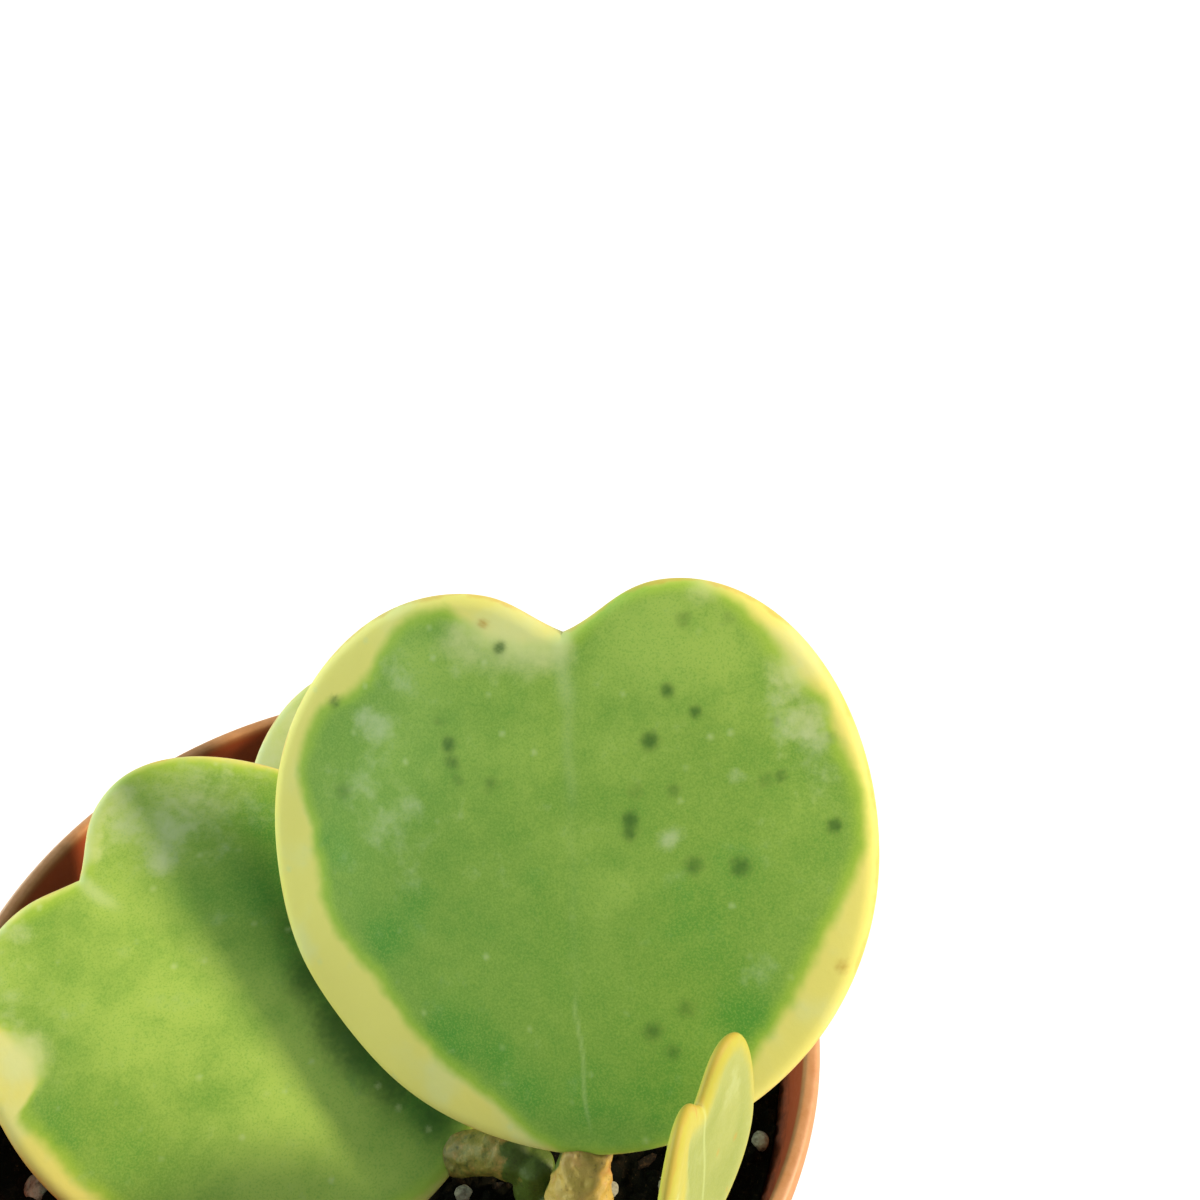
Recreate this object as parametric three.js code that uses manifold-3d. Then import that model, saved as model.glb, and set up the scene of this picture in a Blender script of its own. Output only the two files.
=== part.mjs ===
// A potted hoya: two large heart-shaped leaves on a short vine, a third leaf behind them,
// a young leaf at the front, potting soil and a moulded plastic nursery pot.
// Millimetres, +Z up. The origin is the centre of the pot's underside.
import * as THREE from 'three';
import { mergeVertices } from 'three/addons/utils/BufferGeometryUtils.js';
import Module from 'manifold-3d';

const wasm = await Module();
wasm.setup();

// ---------------------------------------------------------------- driving dimensions

const GAP = 0.3; // clearance left between pieces that touch

const POT = {
  height: 90,
  lipRadius: 52.5, // outer edge of the rim's flat top
  lipBulge: 0.6, // how far the lip's rounded outside stands past that edge
  lipWidth: 1.5,
  collarHeight: 13, // straight band under the rim
  shoulder: 2.4, // step from the collar in to the wall
  footRadius: 37,
  wall: 1.3,
  floor: 1.5,
  padRadius: 21, // flat disc in the middle of the underside
  drainRise: 2.6, // the drained part of the floor stands this far off the ground
  footWidth: 2.8,
  drainHoles: 6,
  drainHoleRadius: 3.4,
  segments: 48,
};

const SOIL = {
  topHeight: 78,
  crumbRelief: 1.1, // half the height of the larger crumbs
  mound: 1.2, // the soil is this much higher in the middle
  rings: 11,
  holeBottom: 63, // the stems' holes reach down to here
};

const PERLITE = { grains: 26, smallest: 1.5, largest: 2.9, seed: 11 };

// Blade outlines lie in a flat plane: u across, v from the base to the notch, in mm.
// width and side place the widest point; lobeU and lobeV place the top of the lobe.
const LEAF_RIGHT = {
  base: [16.6, -29.2, 97], // where the midrib starts
  heading: 85.1, // compass of the midrib, degrees from +X towards +Y
  rise: 54, // slope of the midrib
  roll: -21.9, // lean about the midrib
  notch: 54.6, // length of the midrib
  right: { width: 31.9, side: 32.3, lobeU: 12.1, lobeV: 59.9 },
  left: { width: 36.1, side: 32.3, lobeU: 12.1, lobeV: 58.9 },
  baseAngle: 1,
  notchAngle: 21,
  dome: 4, // the edges bend back by this much
  bend: -3, // the notch end bends back by this much
  fold: 0,
  thickness: 2.6,
};

const LEAF_LEFT = {
  base: [5.7, -22.3, 87],
  heading: 141.4,
  rise: 18,
  roll: -21.5,
  notch: 55.2,
  right: { width: 26.4, side: 30.8, lobeU: 10.4, lobeV: 60.0 },
  left: { width: 27.2, side: 30.5, lobeU: 9.5, lobeV: 58.7 },
  baseAngle: 2,
  notchAngle: 27,
  dome: 4,
  bend: 0,
  fold: 0,
  thickness: 2.6,
};

const LEAF_BACK = {
  base: [11.6, -3.5, 85],
  heading: 96.7,
  rise: 30,
  roll: -7.2,
  notch: 45.9,
  right: { width: 27.2, side: 27.2, lobeU: 10.2, lobeV: 50.1 },
  left: { width: 27.2, side: 27.2, lobeU: 10.2, lobeV: 50.1 },
  baseAngle: 2,
  notchAngle: 25,
  dome: 4,
  bend: -2,
  fold: 0,
  thickness: 2.4,
};

const LEAF_YOUNG = {
  base: [25, -43.3, 102],
  heading: 88.8,
  rise: 73.4,
  roll: 51.3,
  notch: 18.5,
  right: { width: 10.9, side: 10.1, lobeU: 5, lobeV: 21.9 },
  left: { width: 10.9, side: 10.1, lobeU: 5, lobeV: 21.9 },
  baseAngle: 8,
  notchAngle: 35,
  dome: 0,
  bend: 0,
  fold: 0.15, // the halves rise from the midrib at this slope
  thickness: 1.5,
};

const BLADE = { rows: 20, edgeRound: 1.6, innerSteps: 3 };

// Each limb is a list of stations [x, y, z, radius] from the root or the joint to its tip.
const MAIN_STEM = [[13.2, -26.6, 63.4, 1.9], [13.2, -26.6, 72, 1.9], [13.2, -26.6, 80.5, 2],
  [13.1, -26.5, 86.5, 2.6], [13, -26.3, 90, 2.2]];
const RIGHT_PETIOLE = [[13.2, -26.8, 84.5, 2.2], [14.8, -30.2, 85.4, 3], [16.1, -32.5, 88.8, 3.5],
  [16.35, -32, 93, 3.2], [16.6, -28.9, 97.4, 2.9]];
const LEFT_PETIOLE = [[13, -26.3, 87.4, 2], [10.6, -24.6, 89.6, 2.4], [8.2, -23.5, 89, 2.3],
  [5.3, -22, 87.2, 2.6]];
const BACK_PETIOLE = [[11.9, -11.5, 63.4, 1.8], [11.9, -11.5, 72, 1.8], [11.9, -11.5, 80.5, 1.9],
  [11.8, -8.2, 84.2, 2.1], [11.6, -3, 85.3, 2.3]];
const YOUNG_SHOOT = [[24.5, -37.5, 63.4, 1.3], [24.5, -37.5, 72, 1.3], [24.5, -37.5, 80.5, 1.2],
  [24.7, -39.8, 88, 1.2], [24.9, -43, 96, 1.1], [25, -43.1, 102.5, 1.3]];
const LIMB = { sides: 10, stepsPerStation: 3, dome: 0.6 };

// ---------------------------------------------------------------- finishes

const moulded = { color: 0xc07848, roughness: 0.55, metalness: 0 };
const earth = { color: 0x1d1a12, roughness: 0.95, metalness: 0 };
const leafGreen = { color: 0x6f9a3f, roughness: 0.45, metalness: 0 };
const leafYellow = { color: 0xd8d470, roughness: 0.45, metalness: 0 };
const bark = { color: 0x94803f, roughness: 0.7, metalness: 0 };

// ---------------------------------------------------------------- solids

// Drop the triangles that a pole of a surface of revolution squeezes to a line.
function withoutSlivers(geometry) {
  const index = Array.from(geometry.index.array);
  const kept = [];
  for (let i = 0; i < index.length; i += 3) {
    const [a, b, c] = index.slice(i, i + 3);
    if (a !== b && b !== c && c !== a) kept.push(a, b, c);
  }
  geometry.setIndex(kept);
  return geometry;
}

function toSolid(geometry) {
  const bare = geometry.clone();
  bare.deleteAttribute('normal');
  bare.deleteAttribute('uv');
  const merged = withoutSlivers(mergeVertices(bare, 1e-4));
  return new wasm.Manifold(new wasm.Mesh({
    numProp: 3,
    vertProperties: new Float32Array(merged.attributes.position.array),
    triVerts: new Uint32Array(merged.index.array),
  }));
}

function toGeometry(solid) {
  const mesh = solid.getMesh();
  const geometry = new THREE.BufferGeometry();
  geometry.setAttribute('position', new THREE.BufferAttribute(mesh.vertProperties, 3));
  geometry.setIndex(new THREE.BufferAttribute(mesh.triVerts, 1));
  geometry.computeVertexNormals();
  return geometry;
}

// A closed skin over a row of rings; the first and the last ring are single points.
function loft(rings) {
  const positions = [];
  const starts = rings.map((ring) => {
    const start = positions.length / 3;
    ring.forEach((p) => positions.push(p.x, p.y, p.z));
    return start;
  });
  const sides = rings[1].length;
  const faces = [];
  for (let i = 0; i < rings.length - 1; i++) {
    for (let j = 0; j < sides; j++) {
      const next = (j + 1) % sides;
      const [low, high] = [starts[i], starts[i + 1]];
      if (i > 0) faces.push(low + j, low + next, high + (rings[i + 1].length > 1 ? next : 0));
      if (rings[i + 1].length > 1) faces.push(low + (i > 0 ? j : 0), high + next, high + j);
    }
  }
  const geometry = new THREE.BufferGeometry();
  geometry.setAttribute('position', new THREE.Float32BufferAttribute(positions, 3));
  geometry.setIndex(faces);
  geometry.computeVertexNormals();
  return geometry;
}

function mesh(name, geometry, finish) {
  const piece = new THREE.Mesh(geometry, new THREE.MeshStandardMaterial(finish));
  piece.name = name;
  return piece;
}

// Even numbers from 0 to 1, the same ones on every run.
function seededDraw(seed) {
  let state = seed;
  return () => {
    state = (state * 1664525 + 1013904223) % 4294967296;
    return state / 4294967296;
  };
}

// ---------------------------------------------------------------- pot

// Radius of the pot's outer wall at a height under the shoulder.
function wallRadius(z) {
  const top = POT.height - POT.collarHeight;
  const upper = POT.lipRadius - POT.shoulder;
  return POT.footRadius + (upper - POT.footRadius) * (z / top);
}

function potProfile() {
  const { height, lipRadius, lipBulge, lipWidth, collarHeight, shoulder, footRadius } = POT;
  const { wall, floor, padRadius, drainRise, footWidth } = POT;
  const collarFoot = height - collarHeight;
  const innerCollar = lipRadius - lipWidth;
  const outside = [
    [0, 0], [padRadius, 0], [padRadius + 1, drainRise], [footRadius - footWidth - 0.8, drainRise],
    [footRadius - footWidth, 0], [footRadius - 0.6, 0], [footRadius, 0.8],
    [wallRadius(collarFoot), collarFoot], [lipRadius - 0.3, collarFoot + 0.6],
    [lipRadius - 0.2, height - 3.4], [lipRadius + lipBulge, height - 2.2],
    [lipRadius + lipBulge, height - 1.1], [lipRadius + 0.2, height - 0.25], [lipRadius - 0.3, height],
  ];
  const inside = [
    [innerCollar + 0.3, height], [innerCollar, height - 0.4], [innerCollar - 0.3, collarFoot + 2.2],
    [wallRadius(collarFoot) - wall, collarFoot - shoulder / 2],
    [wallRadius(drainRise + floor) - wall, drainRise + floor + 1], [footRadius - 3, drainRise + floor],
    [padRadius + 0.4, drainRise + floor], [padRadius - 1.2, floor], [0, floor],
  ];
  return [...outside, ...inside].map(([r, z]) => new THREE.Vector2(r, z));
}

function turned(profile) {
  return new THREE.LatheGeometry(profile, POT.segments).rotateX(Math.PI / 2);
}

function drainHole(index) {
  const angle = ((index + 0.5) / POT.drainHoles) * 2 * Math.PI;
  const reach = (POT.padRadius + POT.footRadius - POT.footWidth) / 2;
  const drill = new THREE.CylinderGeometry(POT.drainHoleRadius, POT.drainHoleRadius, 12, 12);
  drill.rotateX(Math.PI / 2).translate(reach * Math.cos(angle), reach * Math.sin(angle), 3);
  return toSolid(drill);
}

function pot() {
  let body = toSolid(turned(potProfile()));
  for (let i = 0; i < POT.drainHoles; i++) body = body.subtract(drainHole(i));
  return mesh('pot', toGeometry(body), moulded);
}

// ---------------------------------------------------------------- soil

// Height of the soil: a low mound with crumbs drawn by crossed waves.
function soilHeight(x, y) {
  const reach = wallRadius(SOIL.topHeight) - POT.wall;
  const mound = SOIL.mound * (1 - (x * x + y * y) / (reach * reach));
  const coarse = Math.sin(0.43 * x + 1.3) * Math.sin(0.39 * y + 0.4);
  const fine = Math.sin(0.97 * x - 0.5 * y) * Math.cos(0.88 * y + 0.37 * x);
  return SOIL.topHeight + mound + SOIL.crumbRelief * (0.6 * coarse + 0.4 * fine);
}

function soilProfile() {
  const { wall, floor, padRadius, drainRise, footRadius } = POT;
  const floorTop = drainRise + floor;
  const under = [
    [0, floor + GAP], [padRadius - 1.5, floor + GAP], [padRadius + 0.1, floorTop + GAP],
    [footRadius - 3.4, floorTop + GAP], [wallRadius(floorTop) - wall - GAP, floorTop + 1 + GAP],
  ];
  const shoulderFoot = POT.height - POT.collarHeight - POT.shoulder / 2;
  const rim = [wallRadius(shoulderFoot) - wall - GAP - 0.1, shoulderFoot - 1];
  const top = [];
  for (let ring = 0; ring <= SOIL.rings; ring++) {
    top.push([(rim[0] - 0.2) * (1 - ring / SOIL.rings), SOIL.topHeight]);
  }
  return [...under, rim, ...top].map(([r, z]) => new THREE.Vector2(r, z));
}

function crumbledTop(geometry) {
  const position = geometry.attributes.position;
  for (let i = 0; i < position.count; i++) {
    if (position.getZ(i) < SOIL.topHeight - 0.01) continue;
    position.setZ(i, soilHeight(position.getX(i), position.getY(i)));
  }
  return geometry;
}

// Where each stem enters the soil, with the radius of its hole.
function stemHoles() {
  return [MAIN_STEM, BACK_PETIOLE, YOUNG_SHOOT].map(([[x, y, , radius]]) => ({ x, y, radius: radius + 0.5 }));
}

function perliteGrain(draw) {
  const size = THREE.MathUtils.lerp(PERLITE.smallest, PERLITE.largest, draw());
  const grain = new THREE.IcosahedronGeometry(size, 0).scale(1, 0.8 + 0.3 * draw(), 0.75);
  grain.rotateX(draw() * 3).rotateZ(draw() * 6);
  const reach = wallRadius(SOIL.topHeight) - POT.wall - PERLITE.largest - 1.2;
  const angle = draw() * 2 * Math.PI;
  const radius = reach * Math.sqrt(draw());
  const [x, y] = [radius * Math.cos(angle), radius * Math.sin(angle)];
  return { x, y, size, shape: grain.translate(x, y, soilHeight(x, y) - 0.15 * size) };
}

function soil() {
  let body = toSolid(crumbledTop(turned(soilProfile())));
  const draw = seededDraw(PERLITE.seed);
  for (let i = 0; i < PERLITE.grains; i++) {
    const { x, y, size, shape } = perliteGrain(draw);
    const blocked = stemHoles().some((hole) => Math.hypot(x - hole.x, y - hole.y) < hole.radius + size + 1);
    if (!blocked) body = body.add(toSolid(shape));
  }
  for (const { x, y, radius } of stemHoles()) {
    const depth = SOIL.topHeight + 8 - SOIL.holeBottom;
    const drill = new THREE.CylinderGeometry(radius, radius, depth, 12).rotateX(Math.PI / 2);
    body = body.subtract(toSolid(drill.translate(x, y, SOIL.holeBottom + depth / 2)));
  }
  return mesh('soil', toGeometry(body), earth);
}

// ---------------------------------------------------------------- leaves

// One half of the heart, from the base round the side and the lobe to the notch.
function halfOutline(half, leaf, side) {
  const { width, side: sideV, lobeU, lobeV } = half;
  const [low, high] = [leaf.baseAngle, leaf.notchAngle].map(THREE.MathUtils.degToRad);
  const at = (u, v) => new THREE.Vector2(side * u, v);
  const path = new THREE.CurvePath();
  const basePull = 0.55 * width;
  path.add(new THREE.CubicBezierCurve(at(0, 0), at(basePull * Math.cos(low), basePull * Math.sin(low)),
    at(width, 0.45 * sideV), at(width, sideV)));
  path.add(new THREE.CubicBezierCurve(at(width, sideV), at(width, sideV + 0.55 * (lobeV - sideV)),
    at(lobeU + 0.55 * (width - lobeU), lobeV), at(lobeU, lobeV)));
  path.add(new THREE.CubicBezierCurve(at(lobeU, lobeV), at(0.5 * lobeU, lobeV),
    at(0.4 * lobeU * Math.cos(high), leaf.notch + 0.4 * lobeU * Math.sin(high)), at(0, leaf.notch)));
  return path.getSpacedPoints(BLADE.rows);
}

// Height of the blade's middle layer over its flat plane.
function bladeHeight(leaf, u, v) {
  const halfWidth = (leaf.right.width + leaf.left.width) / 2;
  const dome = -leaf.dome * Math.pow(Math.abs(u) / halfWidth, 2.2);
  const bend = leaf.bend * (v / leaf.notch) ** 2;
  return dome + bend + leaf.fold * (Math.hypot(u, 3) - 3);
}

function leafAxes(leaf) {
  const [heading, rise, roll] = [leaf.heading, leaf.rise, leaf.roll].map(THREE.MathUtils.degToRad);
  const along = new THREE.Vector3(Math.cos(rise) * Math.cos(heading), Math.cos(rise) * Math.sin(heading),
    Math.sin(rise));
  const flatNormal = new THREE.Vector3(-Math.sin(rise) * Math.cos(heading),
    -Math.sin(rise) * Math.sin(heading), Math.cos(rise));
  const flatAcross = along.clone().cross(flatNormal);
  const across = flatAcross.clone().multiplyScalar(Math.cos(roll))
    .addScaledVector(flatNormal, -Math.sin(roll));
  const normal = flatNormal.clone().multiplyScalar(Math.cos(roll))
    .addScaledVector(flatAcross, Math.sin(roll));
  return { across, along, normal };
}

function onLeaf(leaf, axes, u, v, w) {
  return new THREE.Vector3(...leaf.base).addScaledVector(axes.across, u)
    .addScaledVector(axes.along, v).addScaledVector(axes.normal, w);
}

// Half the blade's thickness, rounded down to nothing over the last stretch to its edge.
function halfThickness(leaf, outline, u, v, extra) {
  const toEdge = Math.min(...outline.map((p) => Math.hypot(p.x - u, p.y - v)));
  const inward = 1 - Math.min(toEdge / BLADE.edgeRound, 1);
  return (leaf.thickness / 2) * Math.sqrt(1 - inward * inward) + extra;
}

// Places across half a row, as shares of the way from the midrib to the edge.
function acrossShares(length) {
  const full = 1 - Math.min(BLADE.edgeRound / length, 0.35);
  const rounding = 1 - Math.min((0.3 * BLADE.edgeRound) / length, 0.12);
  const inner = [];
  for (let k = 0; k < BLADE.innerSteps; k++) inner.push((full * k) / BLADE.innerSteps);
  return [...inner, full, rounding, 1];
}

// The blade as a loft of flat rings, each from the left edge over the top and back below.
function blade(leaf, extra = 0) {
  const axes = leafAxes(leaf);
  const rightEdge = halfOutline(leaf.right, leaf, 1);
  const leftEdge = halfOutline(leaf.left, leaf, -1);
  const outline = [...rightEdge, ...leftEdge];
  const place = (p, lift) => onLeaf(leaf, axes, p.x, p.y, bladeHeight(leaf, p.x, p.y) + lift);
  const rings = [[place(new THREE.Vector2(0, -extra), 0)]];
  for (let row = 1; row < BLADE.rows; row++) {
    const rib = new THREE.Vector2(0, (leaf.notch * row) / BLADE.rows);
    const shares = acrossShares(rightEdge[row].distanceTo(rib));
    const toRight = shares.map((s) => rib.clone().lerp(rightEdge[row], s));
    const toLeft = shares.map((s) => rib.clone().lerp(leftEdge[row], s));
    const line = [...toLeft.reverse(), ...toRight.slice(1)];
    const lift = line.map((p) => halfThickness(leaf, outline, p.x, p.y, extra));
    const top = line.map((p, k) => place(p, k === 0 || k === line.length - 1 ? 0 : lift[k]));
    const bottom = line.map((p, k) => place(p, -lift[k])).slice(1, -1).reverse();
    rings.push([...top, ...bottom]);
  }
  rings.push([place(new THREE.Vector2(0, leaf.notch), 0)]);
  return loft(rings);
}

// ---------------------------------------------------------------- stems

// A round limb through its stations, with a low dome at each end.
function limb(stations) {
  const curve = new THREE.CatmullRomCurve3(stations.map(([x, y, z]) => new THREE.Vector3(x, y, z)));
  const steps = (stations.length - 1) * LIMB.stepsPerStation;
  const frames = curve.computeFrenetFrames(steps);
  const radiusAt = (t) => {
    const place = t * (stations.length - 1);
    const k = Math.min(Math.floor(place), stations.length - 2);
    const share = THREE.MathUtils.smoothstep(place - k, 0, 1);
    return THREE.MathUtils.lerp(stations[k][3], stations[k + 1][3], share);
  };
  const rings = [];
  for (let i = 0; i <= steps; i++) {
    const t = curve.getUtoTmapping(i / steps);
    const ring = [];
    for (let j = 0; j < LIMB.sides; j++) {
      const angle = (j / LIMB.sides) * 2 * Math.PI;
      ring.push(curve.getPoint(t).addScaledVector(frames.normals[i], radiusAt(t) * Math.cos(angle))
        .addScaledVector(frames.binormals[i], radiusAt(t) * Math.sin(angle)));
    }
    rings.push(ring);
  }
  const foot = curve.getPoint(0).addScaledVector(frames.tangents[0], -0.1);
  const tip = curve.getPoint(1).addScaledVector(frames.tangents[steps], LIMB.dome);
  return toSolid(loft([[foot], ...rings, [tip]]));
}

// Limbs joined into one stem, with a slot left round the base of each blade they carry.
function stem(name, limbs, leaves) {
  let body = limbs.map(limb).reduce((joined, next) => joined.add(next));
  for (const leaf of leaves) body = body.subtract(toSolid(blade(leaf, GAP)));
  return mesh(name, toGeometry(body), bark);
}

// ---------------------------------------------------------------- assembly

const plant = new THREE.Group();
plant.add(
  pot(),
  soil(),
  stem('stem_main', [MAIN_STEM, RIGHT_PETIOLE, LEFT_PETIOLE], [LEAF_RIGHT, LEAF_LEFT]),
  stem('stem_back', [BACK_PETIOLE], [LEAF_BACK]),
  stem('stem_young', [YOUNG_SHOOT], [LEAF_YOUNG]),
  mesh('leaf_right', blade(LEAF_RIGHT), leafGreen),
  mesh('leaf_left', blade(LEAF_LEFT), leafGreen),
  mesh('leaf_back', blade(LEAF_BACK), leafGreen),
  mesh('leaf_young', blade(LEAF_YOUNG), leafYellow),
);

export default plant;
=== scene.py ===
import math

import bpy
import numpy as np
from bpy.props import FloatProperty, FloatVectorProperty, IntProperty, PointerProperty
from mathutils import Matrix, Vector


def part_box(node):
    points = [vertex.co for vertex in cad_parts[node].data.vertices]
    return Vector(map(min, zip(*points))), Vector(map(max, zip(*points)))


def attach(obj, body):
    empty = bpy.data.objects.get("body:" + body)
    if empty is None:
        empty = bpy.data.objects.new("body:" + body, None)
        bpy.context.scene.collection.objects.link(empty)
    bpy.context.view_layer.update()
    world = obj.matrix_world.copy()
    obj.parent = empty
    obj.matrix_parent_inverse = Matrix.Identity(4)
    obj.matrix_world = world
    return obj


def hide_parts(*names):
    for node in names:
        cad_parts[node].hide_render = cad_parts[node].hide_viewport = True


bl_info = {
    "name": "Potted hoya",
    "version": (1, 0, 0),
    "blender": (4, 5, 0),
    "location": "View3D > Sidebar > Potted hoya",
    "description": "A young sweetheart hoya with heart-shaped leaves in a moulded nursery pot",
    "category": "Add Mesh",
}

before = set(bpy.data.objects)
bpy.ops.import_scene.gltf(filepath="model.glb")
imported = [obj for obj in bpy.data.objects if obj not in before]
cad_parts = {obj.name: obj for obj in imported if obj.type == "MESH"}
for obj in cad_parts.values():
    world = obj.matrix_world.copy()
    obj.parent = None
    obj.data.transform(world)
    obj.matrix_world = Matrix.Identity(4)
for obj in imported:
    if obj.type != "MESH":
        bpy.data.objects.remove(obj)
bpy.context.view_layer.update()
MM = 0.001  # Blender works in metres, and the sizes below are millimetres

# ---------------------------------------------------------------- sizes, in millimetres

POT = {
    "height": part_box("pot")[1].z / MM,
    "lip_radius": 52.5,
    "lip_width": 1.5,
    "collar_height": 13,
    "shoulder": 2.4,
    "foot_radius": 37,
    "wall": 1.3,
    "floor": 1.5,
    "pad_radius": 21,
    "drain_rise": 2.6,
    "foot_width": 2.8,
    "drain_holes": 6,
    "drain_hole_radius": 3.4,
    "corner": 0.5,  # how far from a corner its rounding starts
    "skin": 0.7,  # what lies further in than this from the outside counts as the inside
    "sharp": 50,  # degrees at which a turn of the surface shows as an edge
}
POT["lip_bulge"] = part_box("pot")[1].x / MM - POT["lip_radius"]

SOIL = {
    "top": 78,
    "relief": 1.1,  # half the height of the large crumbs
    "mound": 1.2,  # how much higher the middle is
    "edge_radius": 49.6,
    "foot_radius": 36,
    "foot_height": 5.6,
    "clearance": 0.4,  # between the bed and the pot's wall
    "coarse": 4.2,  # breadth of the bed's coarse crumbs
    "fine": 1.9,  # breadth of its fine crumbs
    "rings": 130,
    "around": 460,
}
PERLITE = {"grains": 26, "smallest": 1.5, "largest": 2.9, "seed": 11}
# Grains that lie between the leaves and the rim: place x, y and size.
SHOWN_PERLITE = [(41.8, -23.2, 1.5), (22.3, -25.5, 1.1), (-42.3, -12.7, 1.6), (28.7, -26.8, 1.2)]

# Loose bits on the bed. inset keeps them off its edge, lift raises them, sizes and stretch are the ranges
# of their random radii and of the stretch along each one's own three axes, and bumps is how rough they are.
LOOSE = {
    "perlite_grains": {"inset": 2, "lift": 0, "sizes": (0.45, 1), "stretch": (0.7, 1.05),
                       "rings": 13, "around": 18, "bumps": 0.13},
    "peat_crumbs": {"inset": 1, "lift": 0, "sizes": (0.35, 1.25), "stretch": (0.6, 1.2),
                    "rings": 7, "around": 9, "bumps": 0.18},
    "bark_bits": {"inset": 2, "lift": 0.6, "sizes": (0.35, 0.7), "stretch": ((2.2, 0.6, 0.25), (5, 1.3, 0.5)),
                  "rings": 9, "around": 8, "bumps": 0.15},
}
LOOSE_SEED = 41
SMALL_PERLITE = 60  # small grains beside those that the solid has
BARK_BITS = 90
BARK_BITS_TOP = 5  # no bit of bark stands higher than this over the bed

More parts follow.
